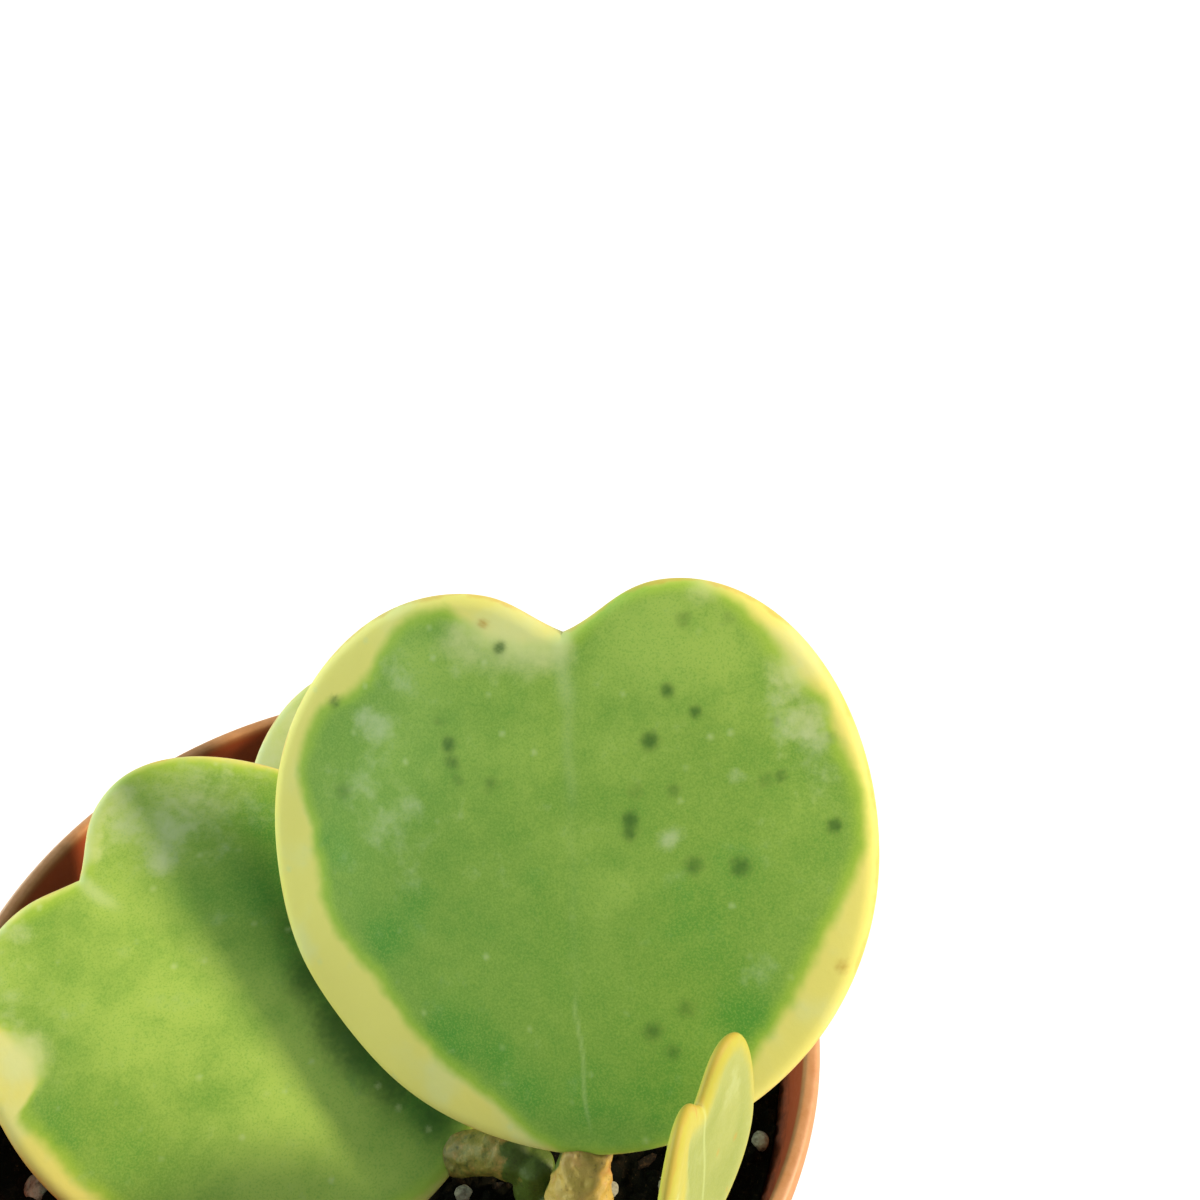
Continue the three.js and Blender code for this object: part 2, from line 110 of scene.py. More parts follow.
# Blade outlines lie in a flat plane: u across, v from the base to the notch. heading, rise and roll turn
# the plane, in degrees. dome, bend and fold are the heights by which the edges drop, the notch end bends
# and the halves rise. width and side place a half's widest point, lobe_u and lobe_v the top of its lobe.
# margins are (share of the way from the base to the notch, width of the yellow edge) on each side.
# Marks are (u, v, radius, strength): lighter, darker and paler patches, haze, dark dots and rust specks. Some
# of them are painted light and shade, as said at each leaf.
# Ribs are (start v, end v, u at the start, u at the end, width, strength).
LEAF_RIGHT = {
    "name": "blade_right",
    "node": "leaf_right",
    "base": (16.6, -29.2, 97),
    "heading": 85.1,
    "rise": 54,
    "roll": -21.9,
    "notch": 54.6,
    "right": {"width": 31.9, "side": 32.3, "lobe_u": 12.1, "lobe_v": 59.9},
    "left": {"width": 36.1, "side": 32.3, "lobe_u": 12.1, "lobe_v": 58.9},
    "base_angle": 1,
    "notch_angle": 21,
    "dome": 4,
    "bend": -3,
    "fold": 0,
    "thickness": 2.6,
    "margins": {
        "right": [(0, -0.2), (0.1, 0), (0.16, 1.2), (0.21, 2.5), (0.25, 4.1), (0.33, 4.4), (0.4, 4),
                  (0.44, 3.2), (0.475, 1.8), (0.5, 0.9), (0.57, 0.8), (0.62, 1.6), (0.66, 1.2), (0.69, 2.4),
                  (0.74, 2.2), (0.79, 0.9), (0.84, 0), (0.94, -0.4), (1, 0.4)],
        "left": [(0, -0.2), (0.04, 1.6), (0.09, 4.3), (0.16, 5.8), (0.24, 6.9), (0.3, 7.5), (0.36, 6.3),
                 (0.42, 5.6), (0.47, 6.1), (0.52, 5.6), (0.57, 3.4), (0.61, 2.7), (0.66, 2.4), (0.7, 4.3),
                 (0.74, 4.7), (0.79, 2.8), (0.82, 1.5), (0.87, 0.9), (0.89, 2.2), (0.93, 3.6), (0.97, 2.4),
                 (1, 0.4)],
    },
    # Its light marks near the top and its deep marks near the base and the lower left are partly the flesh's
    # own tone and partly painted light and shade: the top lighter, the lower part darker.
    "light": [(9, 57, 5, 0.9), (13, 53, 5, 0.5), (17, 51, 8, 0.35), (-17, 53, 4, 0.6), (4, 44, 12, 0.3),
              (-14, 40, 10, 0.3), (4, 29, 5, 0.4), (24, 37, 4, 0.4)],
    "deep": [(-20.8, 21.3, 3.6, 0.9), (-13, 12.5, 3.8, 0.9), (-8, 10.8, 3, 0.7), (-16.5, 26, 3, 0.5),
             (-27.6, 31, 3.5, 0.6), (-26.9, 46.5, 2.4, 0.4), (-23, 50, 3, 0.4), (18.8, 15.5, 3.5, 0.9),
             (-4.8, 6.4, 2.5, 0.6), (8.5, 8, 5, 0.75), (3, 6, 5, 0.75), (14, 22, 6, 0.45), (14, 28, 4, 0.3),
             (-3.2, 28.6, 2.2, 0.5), (18, 31, 3, 0.4)],
    "pale": [(-5, 54.5, 4, 0.9), (-0.8, 53, 2.6, 0.8), (-10.3, 53.9, 3.6, 0.6), (15.3, 58.8, 2, 0.6),
             (23.8, 50, 2.8, 0.6), (25.4, 44.8, 2.4, 0.6)],
    # The haze on the left half is partly wax bloom and partly painted sheen, where the waxy face catches the
    # light.
    "haze": [(-21.6, 44.5, 2, 0.9), (-23.2, 45.5, 1.6, 0.5), (-19.5, 50.5, 3, 0.5), (-23.5, 38, 5, 0.4),
             (-19, 33, 5, 0.35), (25.4, 44, 2.6, 0.8), (22.4, 48.5, 3, 0.45), (25.5, 40, 3.5, 0.4),
             (11.2, 33.4, 1.3, 0.8), (-16.5, 36, 2.5, 0.3), (17.9, 39.9, 1, 0.6), (-1.5, 36.8, 0.9, 0.5),
             (18.5, 19.5, 2.5, 0.3)],
    "spots": [(7.2, 35.4, 0.9, 1), (7.1, 33.9, 0.8, 0.8), (9.4, 43.4, 1, 1), (11.3, 48.5, 0.8, 0.9),
              (14.1, 46.3, 0.7, 0.9), (-12.6, 42.9, 0.9, 0.9), (-12.2, 41, 0.9, 0.7), (-11.5, 39.1, 0.8, 0.5),
              (-7.8, 38.8, 1, 0.5), (-13.7, 45.3, 0.8, 0.4), (-25.9, 37.3, 1.2, 0.5), (27.6, 34.7, 0.8, 1),
              (22.5, 39.7, 0.6, 0.8), (20.9, 39.3, 0.9, 0.5), (13.6, 30.8, 1.1, 0.7), (18.3, 30.7, 1.2, 0.8),
              (11.7, 38.3, 0.8, 0.6), (7.8, 38.2, 1.1, 0.4), (22.1, 45.3, 0.7, 0.4), (-6.7, 53.1, 0.8, 0.9),
              (13.1, 55.7, 1, 0.5), (17.6, 55.6, 0.8, 0.4), (-26.9, 47.2, 0.8, 0.8), (12.5, 16.3, 1.2, 0.5),
              (9, 13.9, 1.1, 0.7), (11, 11.9, 0.9, 0.6), (27.6, 43.4, 0.5, 0.7)],
    "rust": [(-8.5, 55.7, 0.7, 0.7), (28, 20.8, 0.9, 0.6)],
    "rib": [(46, 54.6, 0.7, 0, 1.2, 0.6), (36, 52, 1, 0.6, 0.9, 0.35), (14, 40, 1.2, 1, 0.7, 0.18),
            (3, 16, 2.1, 1.1, 0.3, 0.55)],
    "seed": 3,
}

LEAF_LEFT = {
    "name": "blade_left",
    "node": "leaf_left",
    "base": (5.7, -22.3, 87),
    "heading": 141.4,
    "rise": 18,
    "roll": -21.5,
    "notch": 55.2,
    "right": {"width": 26.4, "side": 30.8, "lobe_u": 10.4, "lobe_v": 60.0},
    "left": {"width": 27.2, "side": 30.5, "lobe_u": 9.5, "lobe_v": 58.7},
    "base_angle": 2,
    "notch_angle": 27,
    "dome": 4,
    "bend": 0,
    "fold": 0,
    "thickness": 2.6,
    "margins": {
        "right": [(0, 0.3), (0.3, 0.5), (0.6, 0.4), (0.8, 0.5), (1, 0.4)],
        "left": [(0, 0.3), (0.15, 1.2), (0.3, 2.4), (0.5, 2.7), (0.57, 2.6), (0.645, 2.3), (0.665, 5.6),
                 (0.7, 6), (0.75, 4.4), (0.79, 1.6), (0.85, 0.5), (1, 0.3)],
    },
    # The light marks are partly lighter flesh and partly painted light: those on the right lobe near the
    # notch and those near the base lift parts that lie in the right leaf's shadow.
    "light": [(-2, 20, 14, 0.9), (-10, 12, 6, 0.6), (-7, 40, 11, 0.6), (0, 49, 7, 0.5), (-13, 55, 5, 0.6),
              (13, 54, 6, 0.8), (8, 57, 4, 0.8), (-7, 8, 5, 0.8), (-14, 18, 4, 0.5)],
    # The deep marks on the right half (u above 0) are painted shade, where the right leaf casts its shadow;
    # the two on the left half are the flesh's darker green.
    "deep": [(-21.4, 38.8, 4, 0.7), (-19, 31, 4, 0.5), (17.5, 42, 5, 0.75), (10.5, 37, 5, 0.7),
             (18, 34, 5, 0.7), (8.5, 29.5, 5, 0.8), (14, 26, 5, 0.8), (7, 22, 4.5, 0.85), (5, 14, 4.5, 0.9),
             (2.5, 7, 3.8, 0.95), (5.5, 42, 4, 0.4)],
    "pale": [(-18.4, 47.3, 3.5, 0.95), (8.4, 59.5, 3.4, 0.6), (3.5, 58.5, 3, 0.5), (3, 56.5, 2.4, 0.5),
             (-9, 58, 3, 0.35), (22, 50, 3, 0.3)],
    # The haze on the right lobe is partly bloom and partly painted light over the right leaf's shadow.
    "haze": [(6.7, 48.6, 1.6, 0.9), (8, 57, 4.5, 0.6), (11, 50.5, 3.5, 0.6), (14, 52, 7, 0.4),
             (18, 47, 5, 0.4), (-16, 52, 4, 0.45), (-8, 57, 3, 0.4)],
    # These wide marks are painted shade: they join into the darkest strip, where the right leaf keeps the
    # light off.
    "spots": [(10, 31, 3, 0.5), (6.2, 26, 3.4, 0.8), (3.8, 20, 3.4, 0.9), (2.6, 16, 3.2, 0.85),
              (2, 11, 3.2, 0.75), (1.8, 5, 3, 0.8)],
    "rib": [(49, 55.2, 0, 0, 0.9, 0.85)],
    "seed": 5,
}

LEAF_BACK = {
    "name": "blade_back",
    "node": "leaf_back",
    "base": (11.6, -3.5, 85),
    "heading": 96.7,
    "rise": 30,
    "roll": -7.2,
    "notch": 45.9,
    "right": {"width": 27.2, "side": 27.2, "lobe_u": 10.2, "lobe_v": 50.1},
    "left": {"width": 27.2, "side": 27.2, "lobe_u": 10.2, "lobe_v": 50.1},
    "base_angle": 2,
    "notch_angle": 25,
    "dome": 4,
    "bend": -2,
    "fold": 0,
    "thickness": 2.4,
    "margins": {
        "right": [(0, 0.4), (0.2, 1.8), (0.4, 3.6), (0.6, 2.2), (0.8, 1.2), (1, 0.5)],
        "left": [(0, 0.4), (0.15, 2.4), (0.3, 2.4), (0.45, 1), (0.7, 0.9), (1, 0.5)],
    },
    "light": [(0, 30, 14, 0.5)],
    "deep": [(10, 15, 5, 0.5), (-12, 12, 4, 0.5)],
    "pale": [(-24, 33, 9, 0.95), (-25, 22, 6, 0.7), (-17, 43, 7, 0.9), (18, 40, 4, 0.4)],
    "haze": [(-15, 30, 7, 0.3), (-23, 36, 8, 0.8), (10, 22, 6, 0.3)],
    "spots": [(9, 30, 0.8, 0.8), (-6, 22, 0.7, 0.7), (14, 18, 0.6, 0.6)],
    "rust": [(17, 38, 0.6, 0.6)],
    "rib": [(34, 45.9, 0, 0, 0.6, 0.6)],
    "seed": 7,
}

LEAF_YOUNG = {
    "name": "blade_young",
    "node": "leaf_young",
    "base": (25, -43.3, 102),
    "heading": 88.8,
    "rise": 73.4,
    "roll": 51.3,
    "notch": 18.5,
    "right": {"width": 10.9, "side": 10.1, "lobe_u": 5, "lobe_v": 21.9},
    "left": {"width": 10.9, "side": 10.1, "lobe_u": 5, "lobe_v": 21.9},
    "base_angle": 8,
    "notch_angle": 35,
    "dome": 0,
    "bend": 0,
    "fold": 0.15,
    "thickness": 1.5,
    "margins": {
        "right": [(0, 0.8), (0.5, 0.9), (0.8, 1.2), (1, 1)],
        "left": [(0, 1.5), (0.3, 4), (0.6, 5), (0.8, 3.2), (1, 1)],
    },
    "light": [(5, 12, 5, 0.6), (6, 19, 4, 0.7)],
    "pale": [(5, 12, 5, 0.5)],
    "haze": [(6, 16, 3, 0.3)],
    "rust": [(-2.2, 20, 0.6, 0.7), (6.3, 9.5, 0.5, 0.6), (2.9, 10.5, 0.45, 0.5), (5, 4, 0.4, 0.5)],
    "rib": [(2, 18.5, 0, 0, 0.3, 0.6)],
    "seed": 9,
}

MARKS = ("light", "deep", "pale", "haze", "spots", "rust")

# Of every blade: how far in its edge's rounding starts, the rows from base to notch, the points of a row
# up to the rounding and over it, and depth and half width of the channel above and the keel below the midrib.
BLADE = {"edge_round": 1.6, "rows": 150, "inner": 52, "rim": 9, "channel": (0.1, 1.6), "keel": (0.55, 1.3),
         "wave": 26, "waves": 10, "wave_height": 0.01}  # breadth, number, and height over the midrib's length

# Each limb is a list of stations (x, y, z, radius) from its root or joint to its tip.
MAIN_STEM = [(13.2, -26.6, 63.4, 1.9), (13.2, -26.6, 72, 1.9), (13.2, -26.6, 80.5, 2),
             (13.1, -26.5, 86.5, 2.6), (13, -26.3, 90, 2.2)]
RIGHT_PETIOLE = [(13.2, -26.8, 84.5, 2.2), (15, -30.3, 85.4, 3.2), (16.2, -32.6, 88.8, 3.8),
                 (16.6, -32, 92.6, 3.5), (17.9, -29.2, 96.6, 2.75)]
LEFT_PETIOLE = [(13, -26.3, 87.4, 2), (10.6, -24.6, 89.6, 2.4), (8.2, -23.5, 89, 2.3),
                (5.3, -22, 87.2, 2.6)]
BACK_PETIOLE = [(11.9, -11.5, 63.4, 1.8), (11.9, -11.5, 72, 1.8), (11.9, -11.5, 80.5, 1.9),
                (11.8, -8.2, 84.2, 2.1), (11.6, -3, 85.3, 2.3)]
YOUNG_SHOOT = [(24.5, -37.5, 63.4, 1.3), (24.5, -37.5, 72, 1.3), (24.5, -37.5, 80.5, 1.2),
               (24.7, -39.8, 88, 1.2), (24.9, -43, 96, 1.1), (25, -43.1, 102.5, 1.3)]

# Each stem: its piece, its node, its limbs, how far from the upright part its cork begins, and how deep
# its wrinkles are beside the full depth.
STEMS = (("main_vine", "stem_main", (MAIN_STEM, RIGHT_PETIOLE, LEFT_PETIOLE), 2.6, 1),
         ("back_vine", "stem_back", (BACK_PETIOLE,), 2.4, 1),
         ("young_shoot", "stem_young", (YOUNG_SHOOT,), 3.6, 0.5))
MELT = {"voxel": 0.22, "ease": 0.5, "passes": 6}  # the grid that joins limbs, and the smoothing after it

# The bark's random fields: breadth, squeeze of x, y and z, and seed. They are the ragged edge of the cork,
# the ridges along a stem, the rings round it, and the warts.
BARK = ((3, (1, 1, 1), 61), (1.5, (1, 1, 0.3), 62), (1.3, (0.35, 0.35, 1), 63), (1.1, (1, 1, 1), 64))
# shade and shade_reach paint shade: the side of a stalk towards -x, away from the key light, gets less cork
# and so shows darker skin.
CORK = {"ragged": 0.35, "spread": 1.6, "shade_reach": 5, "shade": 0.6, "wart_from": 0.9}
# The painted shade round a stalk's tip, under its blade:
JOINT_SHADE = {"outer": 3.4, "inner": 1.7, "ragged": 0.4}  # distances from a stalk's tip

CAMERA = {"place": (0, -87, 217.1), "heading": 75.1, "dip": 37.8, "roll": 3.8, "lens": 34.65,
          "sensor": 36, "nearest": 10}
FLOOR_REACH = 8000

# The lamps are far away: compass direction, height and breadth are in degrees.
LAMPS = {
    "key": {"azimuth": -16, "height": 31, "breadth": 7, "shade": "#ffe8c8"},
    "window": {"azimuth": -28, "height": 44, "breadth": 50, "shade": "#ffffff"},
    "bounce": {"azimuth": 146, "height": 11, "breadth": 34, "shade": "#f2fff4"},
    "fill": {"azimuth": 180, "height": 9, "breadth": 24, "shade": "#f2fff4"},
}

# ---------------------------------------------------------------- colours


def linear(shade):
    """An sRGB hex colour as linear red, green and blue."""
    parts = np.array([int(shade[k:k + 2], 16) for k in (1, 3, 5)]) / 255
    return tuple(np.where(parts <= 0.04045, parts / 12.92, ((parts + 0.055) / 1.055) ** 2.4).tolist())


def colour(name, owner, shade):
    """A setting for the colour of something, whose default is an sRGB hex colour."""
    return FloatVectorProperty(name=name, description="Colour of " + owner, subtype="COLOR", size=3,
                               min=0, max=1, default=linear(shade))


def length(name, description, millimetres):
    """A length setting whose default is given in millimetres."""
    return FloatProperty(name=name, description=description, unit="LENGTH", min=0,
                         default=millimetres * MM, precision=5)


def strength(name, light, default):
    """A setting for the strength of a light."""
    return FloatProperty(name=name, description="Strength of " + light, default=default, min=0)


class PotLook(bpy.types.PropertyGroup):
    """Sizes and colours of the nursery pot."""

    wall: length("Wall", "Thickness of the pot's wall", POT["wall"])
    segments: IntProperty(name="Segments", description="Flat faces round the pot", default=192, min=24)
    shell: colour("Plastic", "the moulded plastic", "#a5682f")
    lip: colour("Lip", "the worn lip", "#c08f63")
    # This colour is the inside painted redder, standing in for the light that glows through the thin wall and
    # bounces inside.
    stain: colour("Stain", "the deeper plastic inside", "#a64b20")
    dirt: colour("Dirt", "the soil smeared inside", "#2a1b0c")


class SoilLook(bpy.types.PropertyGroup):
    """Sizes and colours of the potting mix."""

    relief: length("Relief", "Height of the fine crumbs in the soil's surface", 0.55)
    crumbs: IntProperty(name="Crumbs", description="Loose crumbs on the surface", default=520, min=0)
    peat: colour("Peat", "the moist peat", "#0c0d06")
    grit: colour("Grit", "the dust and sand in the peat", "#6b5a3c")
    fibre: colour("Fibre", "the dry fibres and bark", "#2a2013")
    fibre_pale: colour("Pale fibre", "the fibres' lighter grain", "#7a5a36")
    perlite: colour("Perlite", "the perlite grains", "#a9a890")
    perlite_stain: colour("Stain", "the peat stains on the perlite", "#3a3122")


class LeafLook(bpy.types.PropertyGroup):
    """Colours of the leaves and the thickness that they share."""

    plump: FloatProperty(name="Plumpness", description="Share of the blades' full thickness",
                         subtype="FACTOR", default=1, min=0.3, max=1)
    green: colour("Green", "the grown blades", "#74963b")
    # Light green is also painted light on leaf_left and leaf_right, as said there.
    light_green: colour("Light green", "the blades' lighter patches", "#95af4e")
    # Deep green is also the painted shade on the right half of leaf_left.
    deep_green: colour("Deep green", "the blades' darker patches", "#45852c")
    lime: colour("Lime", "the band between the flesh and the yellow margin", "#99b53a")
    yellow: colour("Margin", "the variegated margin", "#cdc66a")
    yellow_pale: colour("Pale margin", "the margin's creamy parts", "#c4c98b")
    edge: colour("Edge", "the thin line along the rim", "#b98a3c")
    cream: colour("Cream", "the midrib and the dust specks", "#b4c386")
    # This dark colour also paints the shade of the wide marks on leaf_left.
    spot_and_shade: colour("Spot", "the dark spots", "#35591f")
    rust: colour("Rust", "the rust specks", "#a4802e")
    # This colour paints the haze marks, which are partly bloom and partly painted sheen, and the undersides.
    bloom_and_sheen: colour("Bloom", "the dusty wax bloom", "#b0bd92")
    young: colour("Young green", "the young blade's middle", "#7f8b40")
    young_pale: colour("Young pale", "the young blade's lighter parts", "#939a54")
    young_edge: colour("Young margin", "the young blade's margin", "#a09c3c")
    young_line: colour("Young edge", "the line along the young blade's rim", "#a8863a")


class StemLook(bpy.types.PropertyGroup):
    """Sizes and colours of the stems."""

    wrinkle: length("Wrinkle", "Depth of the bark's wrinkles", 0.18)
    cork: colour("Cork", "the corky leaf stalks", "#ae9444")
    pink: colour("Pink cork", "the fresh cork", "#b0743f")
    skin: colour("Skin", "the green stem", "#50641f")
    # The pale flakes are partly painted glints, where the wet-looking cork catches the light.
    flake: colour("Flake", "the cork's pale flakes", "#cdb77c")
    crack: colour("Crack", "the cracks in the cork", "#3a2f18")
    # This colour is painted shade round each stalk's tip, where it meets its blade.
    crease: colour("Crease", "the crease between stalk and blade", "#4d461c")


class StageLook(bpy.types.PropertyGroup):
    """Floor, light and camera."""

    floor: colour("Floor", "the floor", "#f2f5fc")
    sky_shade: colour("Sky shade", "the even light all round", "#dceef4")
    sky: strength("Sky", "the even light all round", 0.42)
    key: strength("Key", "the light that casts the shadows", 4.9)
    window: strength("Window", "the wide soft light", 1.2)
    bounce: strength("Bounce", "the low light from behind", 3.3)
    fill: strength("Fill", "the low light on the left", 0.9)
    lens: FloatProperty(name="Lens", description="Focal length of the camera", unit="CAMERA",
                        default=CAMERA["lens"], min=1)


# ---------------------------------------------------------------- meshes


def grid_faces(rows, columns):
    """Quads between the neighbouring points of a grid whose columns run round and close."""
    row, column = np.meshgrid(np.arange(rows - 1), np.arange(columns), indexing="ij")
    after = (column + 1) % columns
    corners = (row * columns + column, row * columns + after,
               (row + 1) * columns + after, (row + 1) * columns + column)
    return np.stack(corners, axis=-1).reshape(-1, 4)


def closed_skin(grid):
    """Points and faces of a closed skin over rings; the first and last ring shrink to one point each.

    grid is rings by points by 3. Quads join neighbouring rings, and a fan of triangles closes each end."""
    rings, around = grid.shape[:2]
    inner = grid[1:-1].reshape(-1, 3)
    points = np.concatenate([grid[0, :1], inner, grid[-1, :1]])
    quads = grid_faces(rings - 2, around) + 1
    here = np.arange(around)
    after = (here + 1) % around
    last = len(points) - 1
    first_fan = np.stack([np.zeros_like(here), after + 1, here + 1], axis=-1)
    top = last - around
    last_fan = np.stack([np.full_like(here, last), top + here, top + after], axis=-1)
    return points, quads.tolist() + first_fan.tolist() + last_fan.tolist()


def set_fields(mesh, fields):
    """Stores each named field as a float at the mesh's points."""
    for name, values in fields.items():
        mesh.attributes.new(name, "FLOAT", "POINT").data.foreach_set("value", values.astype(np.float32))


def new_piece(name, points, faces):
    """A smooth-shaded object from points in millimetres."""
    mesh = bpy.data.meshes.new(name)
    mesh.from_pydata(np.asarray(points) * MM, [], faces)
    mesh.update()
    mesh.shade_smooth()
    piece = bpy.data.objects.new(name, mesh)
    bpy.context.scene.collection.objects.link(piece)
    return piece


def settle(piece, slot, material, *nodes):
    """Gives a finished piece its material and its body, and hides the solids that it stands for. slot is not
    used.
    """
    piece.data.materials.append(material)
    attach(piece, "root")
    if nodes:
        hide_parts(*nodes)


def applied(piece):
    """Replaces a piece's mesh by what its modifiers make of it, and removes them."""
    graph = bpy.context.evaluated_depsgraph_get()
    finished = bpy.data.meshes.new_from_object(piece.evaluated_get(graph))
    piece.modifiers.clear()
    piece.data = finished
    return piece


def mesh_points(mesh):
    """A mesh's points as an array, in millimetres."""
    flat = np.empty(len(mesh.vertices) * 3)
    mesh.vertices.foreach_get("co", flat)
    return flat.reshape(-1, 3) / MM


def swells(points, span, seed, waves=28):
    """A smooth random field of unit spread: the sum of plane waves about span long in random directions."""
    draw = np.random.default_rng(seed)
    ways = draw.normal(size=(waves, points.shape[-1]))
    ways *= 2 * np.pi / (span * np.linalg.norm(ways, axis=1, keepdims=True))
    ways *= draw.uniform(0.75, 1.35, (waves, 1))
    phases = draw.uniform(0, 2 * np.pi, waves)
    return np.sin(points @ ways.T + phases).sum(axis=-1) * math.sqrt(2 / waves)


def smooth(low, high, values):
    """0 up to low, 1 from high, and a cubic ease between them."""
    share = np.clip((values - low) / (high - low), 0, 1)
    return share * share * (3 - 2 * share)


def turned(profile, segments):
    """A surface of revolution: each profile point (radius, height) carried round the Z axis."""
    angle = np.arange(segments) * 2 * np.pi / segments
    radius, height = profile[:, :1], profile[:, 1:]
    return np.stack([radius * np.cos(angle), radius * np.sin(angle), height + 0 * angle], axis=-1)


def eased(corners, reach, steps=5):
    """A profile with rounded corners: each corner becomes a quadratic curve from reach before it to
    reach past it, with one more point outside each end to hold the flat stretches flat."""
    corners = np.asarray(corners, float)
    middle = corners[1:-1]
    to_last, to_next = corners[:-2] - middle, corners[2:] - middle
    spans = [np.linalg.norm(way, axis=1, keepdims=True) for way in (to_last, to_next)]
    start, end = (way * np.minimum(reach / span, 0.4)
                  for way, span in zip((to_last, to_next), spans))
    share = np.linspace(0, 1, steps)[None, :, None]
    curve = middle[:, None] + start[:, None] * (1 - share) ** 2 + end[:, None] * share ** 2
    held = [(middle + 1.15 * start)[:, None], curve, (middle + 1.15 * end)[:, None]]
    rounded = np.concatenate(held, axis=1).reshape(-1, 2)
    return np.concatenate([corners[:1], rounded, corners[-1:]])


# ---------------------------------------------------------------- materials

# Breadths of patterns are in millimetres: a pattern's Scale is one over its breadth.


def add(tree, kind, inputs=None, output=None, **settings):
    """Adds a shader node; inputs are values or links by socket. Returns the output socket asked for."""
    made = tree.nodes.new("ShaderNode" + kind)
    for name, value in settings.items():
        setattr(made, name, value)
    for socket, value in (inputs or {}).items():
        if isinstance(value, bpy.types.NodeSocket):
            tree.links.new(value, made.inputs[socket])
        else:
            made.inputs[socket].default_value = value
    if output is not None:
        return made.outputs[output]
    return next((socket for socket in made.outputs if socket.enabled), None)


def opaque(shade):
    """A colour with full alpha, as shader sockets want it."""
    return (*shade, 1)


def new_material(name, *noises):
    """A node material, its tree, the place on its piece, and one noise field for each of the noises given,
    each as (breadth in millimetres, detail, roughness)."""
    material = bpy.data.materials.new(name)
    material.use_nodes = True
    tree = material.node_tree
    tree.nodes.clear()
    place = add(tree, "TexCoord", output="Object")
    fields = [add(tree, "TexNoise", {"Vector": place, "Scale": 1 / (breadth * MM), "Detail": detail,
                                     "Roughness": roughness}) for breadth, detail, roughness in noises]
    return material, tree, place, *fields


def finish_material(material, base, layers, reliefs, sockets):
    """Lays colours over the base by their masks, then raises the reliefs and sets the other sockets.

    A mask is a socket, or (value, start, full, top) where it rises from 0 at start to top at full.
    A relief is a height field, the strength of its shading and its depth."""
    tree, base, normal = material.node_tree, opaque(base), {}
    for mask, shade in layers:
        if isinstance(mask, tuple):
            value, start, full, top = mask
            mask = add(tree, "MapRange", {0: value, 1: start, 2: full, 3: 0, 4: top})
        shade = shade if isinstance(shade, bpy.types.NodeSocket) else opaque(shade)
        base = add(tree, "Mix", {0: mask, 6: base, 7: shade}, data_type="RGBA")
    for height, strong, depth in reliefs:
        normal = {"Normal": add(tree, "Bump", {"Height": height, "Strength": strong, "Distance": depth * MM,
                                               **normal})}
    surface = add(tree, "BsdfPrincipled", {"Base Color": base, **normal, **sockets})
    add(tree, "OutputMaterial", {"Surface": surface})
    return material


def moulded_polypropylene(look):
    """Injection-moulded polypropylene: satin and even, a little worn at the lip, muddy by the soil, and
    painted redder inside for the glow of light through the thin wall.
    """
    # The eye gets a broad soft sheen from the mould's fine grain, a faint cloudiness in the plastic, a paler
    # rubbed lip, and an inside that is muddy down by the soil and painted redder, standing in for the light
    # that glows through the thin wall and bounces inside. The real grain is about 0.05 mm broad, too fine to
    # show, and is drawn at 0.35 mm.
    material, tree, place, cloud, speck, grain = new_material(
        "moulded polypropylene", (14, 4, 0.6), (1.3, 5, 0.7), (0.35, 2, 0.5))
    height = add(tree, "SeparateXYZ", {0: place}, output="Z")
    inside = add(tree, "Attribute", output="Fac", attribute_name="inside")
    rubbed, brim = (POT["height"] - 1.6) * MM, (POT["height"] - 0.2) * MM
    splash_top, splash_foot = (SOIL["top"] + 4) * MM, (SOIL["top"] - 1) * MM
    lip, below_lip, splash, scuffed, satin = (
        add(tree, "MapRange", {0: value, 1: start, 2: full, 3: least, 4: most})
        for value, start, full, least, most in (
            (height, rubbed, brim, 0, 1), (height, brim, rubbed, 0, 1),
            (height, splash_top, splash_foot, 0, 1), (speck, 0.3, 0.75, 0.3, 0.8),
            (speck, 0.3, 0.7, 0.4, 0.56)))
    smear = add(tree, "Math", {0: splash, 1: speck}, operation="ADD")
    mud = add(tree, "MapRange", {0: smear, 1: 0.9, 2: 1.4, 4: 0.8})
    # The inside below the lip is painted redder for the glow of light through the thin wall.
    worn, painted_glow, muddy = (add(tree, "Math", {0: one, 1: other}, operation="MULTIPLY")
                            for one, other in ((lip, scuffed), (inside, below_lip), (inside, mud)))
    rough = add(tree, "Math", {0: inside, 1: 0.3, 2: satin}, operation="MULTIPLY_ADD")
    clouded = [0.72 * part for part in look.shell]
    return finish_material(
        material, look.shell, [((cloud, 0.3, 0.75, 0.35), clouded), (worn, look.lip), (painted_glow, look.stain),
                               (muddy, look.dirt)],
        [(grain, 0.5, 0.03)], {"Roughness": rough, "IOR": 1.49})


def moist_peat(look):
    """Moist peat mix: nearly black and matt, with dry fibres that are browner and lighter."""
    # Water fills its gaps and takes nearly all light, so the eye gets black crumbs with dull brown flecks.
    material, _, _, crumb, fine = new_material("moist peat mix", (1.6, 6, 0.7), (0.4, 4, 0.7))
    return finish_material(
        material, look.peat, [((crumb, 0.52, 0.74, 1), look.fibre), ((fine, 0.62, 0.78, 0.5), look.grit)],
        [(fine, 0.9, 0.25)], {"Roughness": 0.95, "Specular IOR Level": 0.06})


